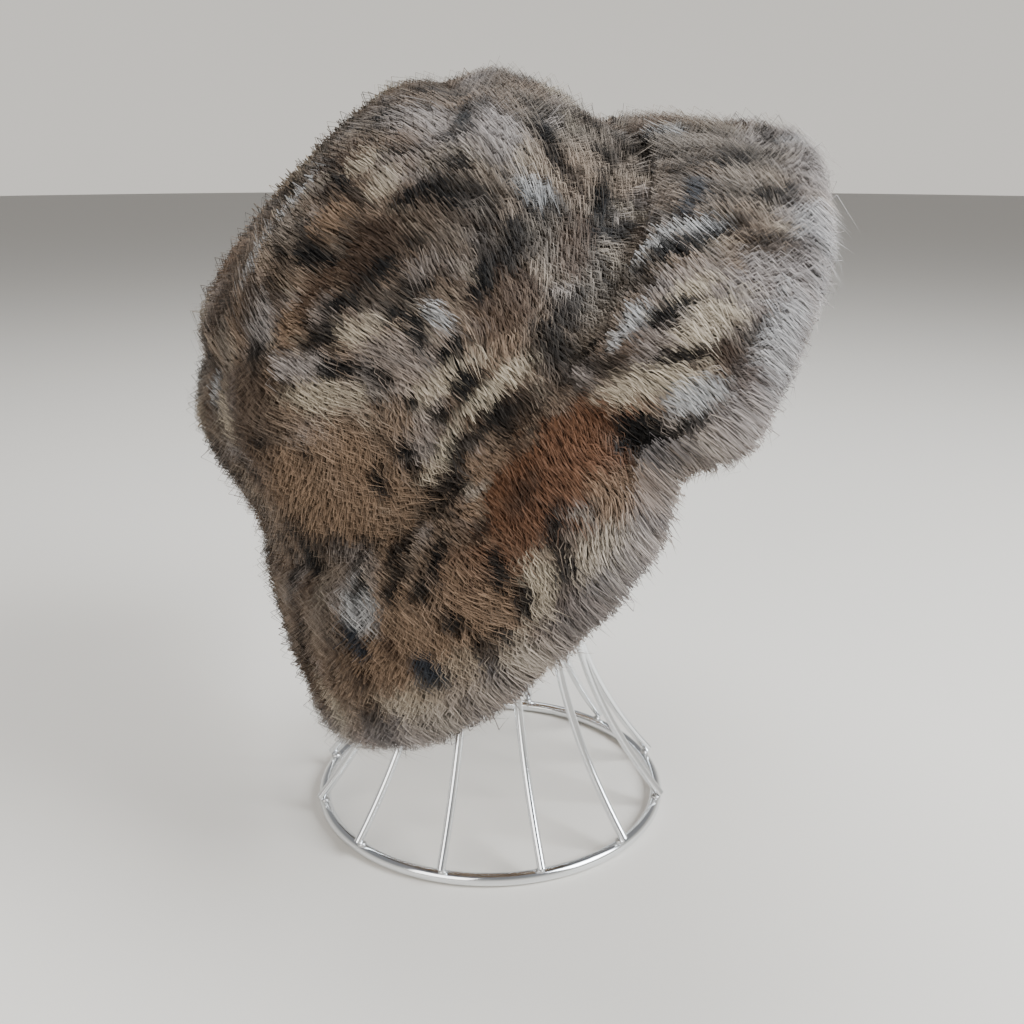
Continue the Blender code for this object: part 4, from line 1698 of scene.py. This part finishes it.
    @staticmethod
    def _blade() -> bpy.types.Object:
        """One hair of unit length and width.

        Returns:
            A blade that rises from its root and bends over towards +X.
        """
        points = [(x, side * share / 2, z) for x, z, share in BLADE_ROWS for side in (-1, 1)] + [BLADE_TIP]
        blade = mesh_object("hair_blade", np.array(points), [(0, 2, 3, 1), (2, 4, 3)], recalc=False)
        write_attribute(blade.data, "along", np.array(BLADE_ALONG))
        return blade

    def _hair_tree(self) -> GeometryTree:
        """The tree that sets hairs on a pelt.

        Returns:
            The tree, which ends in the coat's finish.
        """
        tree = GeometryTree("combed_hairs", {
            "Blade": "Object", "Density": "Float", "Seed": "Int", "Length": "Float", "Width": "Float",
            "Clump Size": "Float", "Clump Pull": "Float", "Stray": "Float", "Lift": "Float"})
        g, seed, size = tree.graph, tree.read("Seed"), tree.read("Clump Size")

        def chance(low: Value, high: Value, offset: int, kind: str = "FLOAT") -> Wire:
            """A random value for each hair, apart from its others."""
            return g.chance(low, high, seed * self.seed_step + offset, kind)

        points = g.node("GeometryNodeDistributePointsOnFaces", {}, {
            "Mesh": tree.read("Geometry"), "Density": tree.read("Density"), "Seed": seed})
        place = g.node("GeometryNodeInputPosition")
        cell = g.node("ShaderNodeTexVoronoi", {}, {"Vector": place, "Scale": 1.0 / size}, "Position")
        pull = g.vector("SCALE", g.vector("SUBTRACT", cell, place), tree.read("Clump Pull") / size)
        stray = g.vector("SCALE", chance((-1, -1, -1), (1, 1, 1), 1, "FLOAT_VECTOR"), tree.read("Stray"))
        comb = g.vector("ADD", g.vector("ADD", g.named("comb"), pull), stray)
        lean = g.vector("SCALE", g.named("comb"), tree.read("Lift") * -1.0)
        up = g.vector("ADD", g.vector("ADD", g.named("up"), g.vector("SCALE", stray, self.stray_up)), lean)
        length = tree.read("Length") * g.named("grow", "FLOAT") * chance(*self.length_range, 2)
        width = tree.read("Width") * chance(*self.width_range, 3)
        height = length * chance(*self.height_range, 4)
        scale = g.node("ShaderNodeCombineXYZ", {}, {"X": length, "Y": width, "Z": height})
        hairs = tree.scatter(points, "Blade", {"Rotation": g.turned(up, comb), "Scale": scale})
        hairs = g.node("GeometryNodeStoreNamedAttribute", {"data_type": "FLOAT", "domain": "INSTANCE"},
                       {"Geometry": hairs, "Name": "shade", "Value": chance(0.0, 1.0, 5)})
        tree.close(hairs, CoatFinish())
        return tree


@dataclass
class Suede:
    """The pelts' leather, whose inner side shows from below, and its sewn seams."""

    form: HatForm
    columns: int = 160
    rows: int = 14
    pitch: float = 0.0055
    thread: float = 0.0009
    slant: float = 0.45
    wander: float = 0.12
    seed: int = 3
    stitch_rings: int = 7
    stitch_sides: int = 6
    stitch_length: float = 5.0
    stitch_rise: float = 0.75
    stitch_sunk: float = 0.15
    stitch_blunt: int = 6
    stitch_end: float = 0.2

    def build(self) -> None:
        """Makes the three pieces of leather and the stitches of two seams."""
        form, s = self.form, self.form.sizes
        tip_ways = np.linspace(form.tip_seam / self.rows / 2, form.tip_seam - s.clearance / 2, self.rows)
        side_ways = np.linspace(form.tip_seam + s.clearance / 2, form.crown_length, self.rows)
        azimuth = np.arange(self.columns) * 360 / self.columns
        top = form.to_world(form.crown(np.array(0.0), np.array(0.0)))
        for name, ways, poles in (("crown_tip", tip_ways, [top, top - form.turn[:, 2] * s.hide]),
                                  ("crown_side", side_ways, [])):
            self._piece(name, *self._faces(form.crown, azimuth, ways, form.crown_step), poles)
        outer, inner = self._faces(form.brim, azimuth, np.linspace(0, 1, self.rows), form.brim_step)
        a = np.radians(azimuth)
        ring = np.stack([s.head_diameter / 2 * np.cos(a), s.head_diameter / 2 * np.sin(a),
                         np.full_like(a, -s.clearance / 2)], axis=-1)
        self._piece("brim", outer, np.concatenate([form.to_world(ring)[None], inner[1:]]))
        tree = self._stitch_tree()
        self._stitches(tree, "tip_seam_stitches", form.tip_seam)
        self._stitches(tree, "brim_seam_stitches", form.crown_length)

    def _faces(self, surface: Surface, azimuth: np.ndarray, along: np.ndarray,
               step: float) -> Tuple[np.ndarray, np.ndarray]:
        """Both faces of a piece of leather.

        Args:
            surface: The crown or the brim.
            azimuth: Azimuths of its columns.
            along: Ways down of its rows.
            step: Length over which its directions are read.

        Returns:
            Points of the outer and of the inner face.
        """
        around_hat, down_hat = np.meshgrid(azimuth, along)
        place, up, _ = self.form.read(surface, around_hat, down_hat, step)
        return place, place - up * self.form.sizes.hide

    @staticmethod
    def _piece(name: str, outer: np.ndarray, inner: np.ndarray, poles: Sequence[np.ndarray] = ()) -> None:
        """A piece of leather, which stands for its node.

        Args:
            name: Name of its panel.
            outer: Its outer face.
            inner: Its inner face.
            poles: Where both faces close.
        """
        obj = shell(f"{name}_suede", outer, inner, poles)
        obj.data.materials.append(SuedeFinish().make())
        ride(obj, "pelt_leather", f"{name}_hide")

    def _stitches(self, tree: GeometryTree, name: str, along: float) -> None:
        """A row of slanted stitches over a seam of the crown, on the inner side.

        Args:
            tree: The tree that sets them.
            name: Name of the piece.
            along: The seam's way down.
        """
        radius = np.linalg.norm(self.form.crown(np.array(0.0), np.array(along))[:2])
        count = round(2 * math.pi * radius / self.pitch)
        azimuth = np.arange(count) * 360 / count
        place, up, down = self.form.read(self.form.crown, azimuth, np.full_like(azimuth, along),
                                         self.form.crown_step)
        base = mesh_object(f"{name}_base", place - up * self.form.sizes.hide, [], recalc=False)
        write_attribute(base.data, "up", -up)
        write_attribute(base.data, "comb", down + self.slant * np.cross(up, down))
        stitch = self._stitch()
        obj = tree.run(base, name, {"Stitch": stitch, "Seed": self.seed, "Thread": self.thread})
        bpy.data.objects.remove(stitch, do_unlink=True)
        ride(obj, "pelt_leather")

    def _stitch_tree(self) -> GeometryTree:
        """The tree that sets stitches on a seam.

        Returns:
            The tree, which ends in the thread's finish.
        """
        tree = GeometryTree("stitches", {"Stitch": "Object", "Seed": "Int", "Thread": "Float"})
        g = tree.graph
        wander = g.chance((-self.wander,) * 3, (self.wander,) * 3, tree.read("Seed"), "FLOAT_VECTOR")
        turn = g.turned(g.named("up"), g.vector("ADD", g.named("comb"), wander))
        many = tree.scatter(tree.points(), "Stitch", {"Rotation": turn, "Scale": tree.read("Thread")})
        tree.close(many, ThreadFinish())
        return tree

    def _stitch(self) -> bpy.types.Object:
        """One stitch, in widths of its thread.

        Returns:
            An arched capsule that lies across the seam.
        """
        rings, sides = self.stitch_rings, self.stitch_sides
        points = []
        for ring in range(rings):
            t = ring / (rings - 1)
            x = self.stitch_length * (t - 0.5)
            z = self.stitch_rise * math.sin(math.pi * t) - self.stitch_sunk
            radius = 0.5 * max(math.sqrt(1 - (2 * t - 1) ** self.stitch_blunt), self.stitch_end)
            points += [(x, radius * math.cos(a), z + radius * math.sin(a)) for a in turns(sides)]
        faces: List[Sequence[int]] = [*grid_faces(rings, sides, True), tuple(range(sides))]
        faces.append(tuple(range((rings - 1) * sides, rings * sides)))
        return mesh_object("stitch", np.array(points), faces)


@dataclass
class WireStand:
    """The stand: a round base ring, twelve bent ribs, their welds and the button at the top."""

    ring_wire: float = 0.0055
    rib_wire: float = 0.0038
    rib_count: int = 12
    foot_overreach: float = 0.0025
    neck_radius: float = 0.0365
    neck_height: float = 0.105
    form_radius: float = 0.0650
    form_rise: float = 0.113
    dome_rise: float = 0.068
    ring_steps: int = 144
    ring_sides: int = 20
    butt_turn: float = 18.0
    butt_depth: float = 0.07
    butt_reach: float = 0.0006
    rib_sides: int = 12
    rib_points: int = 96
    neck_steps: int = 24
    form_steps: int = 24
    dome_steps: int = 32
    weld: float = 0.0022
    weld_height: float = 0.62
    weld_range: Tuple[float, float] = (0.85, 1.1)
    weld_out: float = 0.0004
    weld_sunk: float = 0.0002
    weld_sides: int = 10
    weld_rings: int = 6
    weld_seed: int = 2
    button_sides: int = 48

    def __post_init__(self) -> None:
        """Reads the stand's place and the ribs' feet from the frame."""
        low, high = (Vector(corner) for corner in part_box("stand_base_ring"))
        self.axis = (low + high) / 2
        self.ring_radius = (high.x - low.x - self.ring_wire) / 2
        self.button = [Vector(corner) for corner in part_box("stand_top_button")]

    def build(self) -> None:
        """Makes the stand's pieces."""
        self._ring()
        self._ribs()
        self._welds()
        self._button()

    def _path(self) -> List[Tuple[float, float]]:
        """Centre line of a rib, from its foot to the button.

        Returns:
            Radius and height of each of its points.
        """
        foot = self.ring_radius + self.foot_overreach
        path = []
        for share in np.linspace(0, 1, self.neck_steps, endpoint=False):
            radius = self.neck_radius + (foot - self.neck_radius) * (1 - share) ** 2
            path.append((radius, self.neck_height * share))
        for share in np.linspace(0, 1, self.form_steps, endpoint=False):
            radius = self.neck_radius + (self.form_radius - self.neck_radius) * float(eased(share))
            path.append((radius, self.neck_height + self.form_rise * share))
        end = (self.button[1].x - self.button[0].x) / 2
        last = math.acos((end + self.rib_wire) / self.form_radius)
        for share in np.linspace(0, 1, self.dome_steps):
            path.append((self.form_radius * math.cos(last * share),
                         self.neck_height + self.form_rise + self.dome_rise * math.sin(last * share)))
        path.append((end, path[-1][1]))
        rise = (self.button[0].z + self.button[1].z) / 2 - path[-1][1]
        return [(radius, height + rise) for radius, height in path]

    def _ring(self) -> None:
        """The base ring, with the butt of its wire's two ends at the right."""
        half = self.ring_wire / 2
        t, s = np.meshgrid(turns(self.ring_steps), turns(self.ring_sides), indexing="ij")
        past_butt = (t - math.radians(self.butt_turn)) * self.ring_radius
        ridge = 1 - self.butt_depth * bell(past_butt, self.butt_reach)
        out = self.ring_radius + half * ridge * np.cos(s)
        points = np.stack([self.axis.x + out * np.cos(t), self.axis.y + out * np.sin(t),
                           half + half * ridge * np.sin(s)], axis=-1)
        ring = shell("base_ring", points, points[:0])
        ring.data.materials.append(BrightWireFinish().make())
        ride(ring, "bright_wire", "stand_base_ring")

    def _ribs(self) -> None:
        """The bent ribs, one path turned about the axis by a tree."""
        curve = bpy.data.curves.new("rib_path", "CURVE")
        curve.dimensions = "3D"
        path = self._path()
        spline = curve.splines.new("POLY")
        spline.points.add(len(path) - 1)
        for point, (radius, height) in zip(spline.points, path):
            point.co = (0, -radius, height, 1)
        source = bpy.data.objects.new("rib_path", curve)
        bpy.context.scene.collection.objects.link(source)
        tree = GeometryTree("turned_ribs", {"Count": "Int", "Wire": "Float", "Sides": "Int", "Points": "Int",
                                            "Axis": "Vector", "First Turn": "Float"})
        g, count = tree.graph, tree.read("Count")
        line = g.node("GeometryNodeResampleCurve", {}, {
            "Curve": tree.read("Geometry"), "Count": tree.read("Points")})
        profile = g.node("GeometryNodeCurvePrimitiveCircle", {}, {
            "Resolution": tree.read("Sides"), "Radius": tree.read("Wire") * 0.5})
        rib = g.node("GeometryNodeCurveToMesh", {}, {
            "Curve": line, "Profile Curve": profile, "Fill Caps": True})
        points = g.node("GeometryNodePoints", {}, {"Count": count, "Position": tree.read("Axis")})
        turn = g.node("GeometryNodeInputIndex") * (2 * math.pi) / count + tree.read("First Turn")
        euler = g.node("ShaderNodeCombineXYZ", {}, {"Z": turn})
        rotation = g.node("FunctionNodeEulerToRotation", {}, {"Euler": euler})
        ribs = g.node("GeometryNodeInstanceOnPoints", {}, {
            "Points": points, "Instance": rib, "Rotation": rotation})
        tree.close(ribs, BrightWireFinish())
        made = tree.run(source, "bent_ribs", {
            "Count": self.rib_count, "Wire": self.rib_wire, "Sides": self.rib_sides, "Points": self.rib_points,
            "Axis": (self.axis.x, self.axis.y, 0.0), "First Turn": math.pi / self.rib_count})
        ride(made, "bright_wire", *[f"stand_rib_{n:02d}" for n in range(1, self.rib_count + 1)])

    def _welds(self) -> None:
        """A small weld where each rib's foot sits on the ring."""
        bead = self._bead()
        turn = turns(self.rib_count, 0.5)
        radius = self.ring_radius + self.weld_out
        places = np.stack([self.axis.x + radius * np.sin(turn), self.axis.y - radius * np.cos(turn),
                           np.full_like(turn, self.ring_wire - self.weld_sunk)], axis=-1)
        base = mesh_object("welds_base", places, [], recalc=False)
        tree = GeometryTree("welds", {"Bead": "Object", "Seed": "Int", "Size": "Float"})
        g = tree.graph
        size = tree.read("Size") * g.chance(*self.weld_range, tree.read("Seed"))
        scale = g.node("ShaderNodeCombineXYZ", {}, {"X": size, "Y": size, "Z": size * self.weld_height})
        tree.close(tree.scatter(tree.points(), "Bead", {"Scale": scale}), WeldFinish())
        welds = tree.run(base, "foot_welds", {"Bead": bead, "Seed": self.weld_seed, "Size": self.weld})
        bpy.data.objects.remove(bead, do_unlink=True)
        ride(welds, "bright_wire")

    def _bead(self) -> bpy.types.Object:
        """A weld's bead.

        Returns:
            A ball of radius 1.
        """
        tilt, turn = np.meshgrid(np.linspace(0, math.pi, self.weld_rings + 1)[1:-1], turns(self.weld_sides),
                                 indexing="ij")
        rings = np.stack([np.sin(tilt) * np.cos(turn), np.sin(tilt) * np.sin(turn), np.cos(tilt)], axis=-1)
        return shell("weld_bead", rings, rings[:0], [np.array((0, 0, 1)), np.array((0, 0, -1))])

    def _button(self) -> None:
        """The button that the ribs end in, with a domed top and a turned lip."""
        low, high = self.button
        radius, middle, half = (high.x - low.x) / 2, (low.z + high.z) / 2, (high.z - low.z) / 2
        a = turns(self.button_sides)
        points = np.array([np.stack([self.axis.x + share * radius * np.cos(a),
                                     self.axis.y + share * radius * np.sin(a),
                                     np.full_like(a, middle + up * half)], axis=-1)
                           for share, up in BUTTON_PROFILE])
        poles = [np.array([self.axis.x, self.axis.y, middle + side * half]) for side in (1, -1)]
        button = shell("top_button", points, points[:0], poles)
        button.data.materials.append(BrightWireFinish().make())
        ride(button, "bright_wire", "stand_top_button")


@dataclass
class Studio:
    """The plain pale floor, soft lights and the camera."""

    view: PhotoView
    axis: Vector
    floor_radius: float = 7.0
    floor_sides: int = 96
    surroundings: float = 0.85
    lit_height: float = 0.20

    def build(self) -> None:
        """Makes the stage."""
        self._floor()
        self._world()
        for lamp in LAMPS:
            self._light(lamp)
        self._camera()

    def _floor(self) -> None:
        """A broad disc."""
        turn = turns(self.floor_sides)
        points = np.stack([self.axis.x + self.floor_radius * np.cos(turn),
                           self.axis.y + self.floor_radius * np.sin(turn), np.zeros_like(turn)], axis=-1)
        floor = mesh_object("floor", points, [tuple(range(len(points)))], recalc=False)
        floor.data.materials.append(FloorFinish().make())

    def _world(self) -> None:
        """Even pale surroundings."""
        world = bpy.data.worlds.new("studio")
        world.use_nodes = True
        sky = world.node_tree.nodes["Background"]
        graph = Graph(world.node_tree)
        facing = graph.node("ShaderNodeTexCoord", {}, {}, "Generated")
        height = graph.node("ShaderNodeSeparateXYZ", {}, {"Vector": facing}, "Z")
        graph.feed(sky.inputs["Color"], graph.node("ShaderNodeValToRGB", {"stops": SKY}, {"Fac": height}))
        graph.feed(sky.inputs["Strength"], self.surroundings)
        bpy.context.scene.world = world

    def _light(self, lamp: Lamp) -> None:
        """A square soft light that faces the hat.

        Args:
            lamp: Its row.
        """
        data = bpy.data.lights.new(lamp.name, "AREA")
        data.shape, data.size, data.energy, data.color = "SQUARE", lamp.size, lamp.watts, lamp.colour
        light = bpy.data.objects.new(lamp.name, data)
        target = Vector((self.axis.x, self.axis.y, self.lit_height))
        light.location = self.axis + Vector(lamp.place)
        light.rotation_euler = (target - light.location).to_track_quat("-Z", "Y").to_euler()
        bpy.context.scene.collection.objects.link(light)

    def _camera(self) -> None:
        """The camera, at the viewing angle."""
        data = bpy.data.cameras.new("camera")
        data.sensor_width = self.view.sensor
        data.lens = self.view.focal / self.view.image * self.view.sensor
        camera = bpy.data.objects.new("camera", data)
        camera.matrix_world = self.view.placing(self.axis)
        bpy.context.scene.collection.objects.link(camera)
        bpy.context.scene.camera = camera


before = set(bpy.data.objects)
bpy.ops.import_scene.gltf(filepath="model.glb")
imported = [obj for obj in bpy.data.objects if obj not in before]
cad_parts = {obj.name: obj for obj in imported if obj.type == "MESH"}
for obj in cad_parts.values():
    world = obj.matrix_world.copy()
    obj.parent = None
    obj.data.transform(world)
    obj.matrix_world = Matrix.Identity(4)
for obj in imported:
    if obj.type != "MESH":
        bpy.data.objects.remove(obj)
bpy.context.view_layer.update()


def main() -> None:
    """Builds the stage, the stand and the hat, and reports each piece."""
    logging.basicConfig(level=logging.INFO, format="%(message)s")
    stand = WireStand()
    view = PhotoView()
    Studio(view, stand.axis).build()
    stand.build()
    form = HatForm(HatSizes())
    Suede(form).build()
    FurCoat(form, Painter(view, stand.axis)).build()


if __name__ == "__main__":
    main()
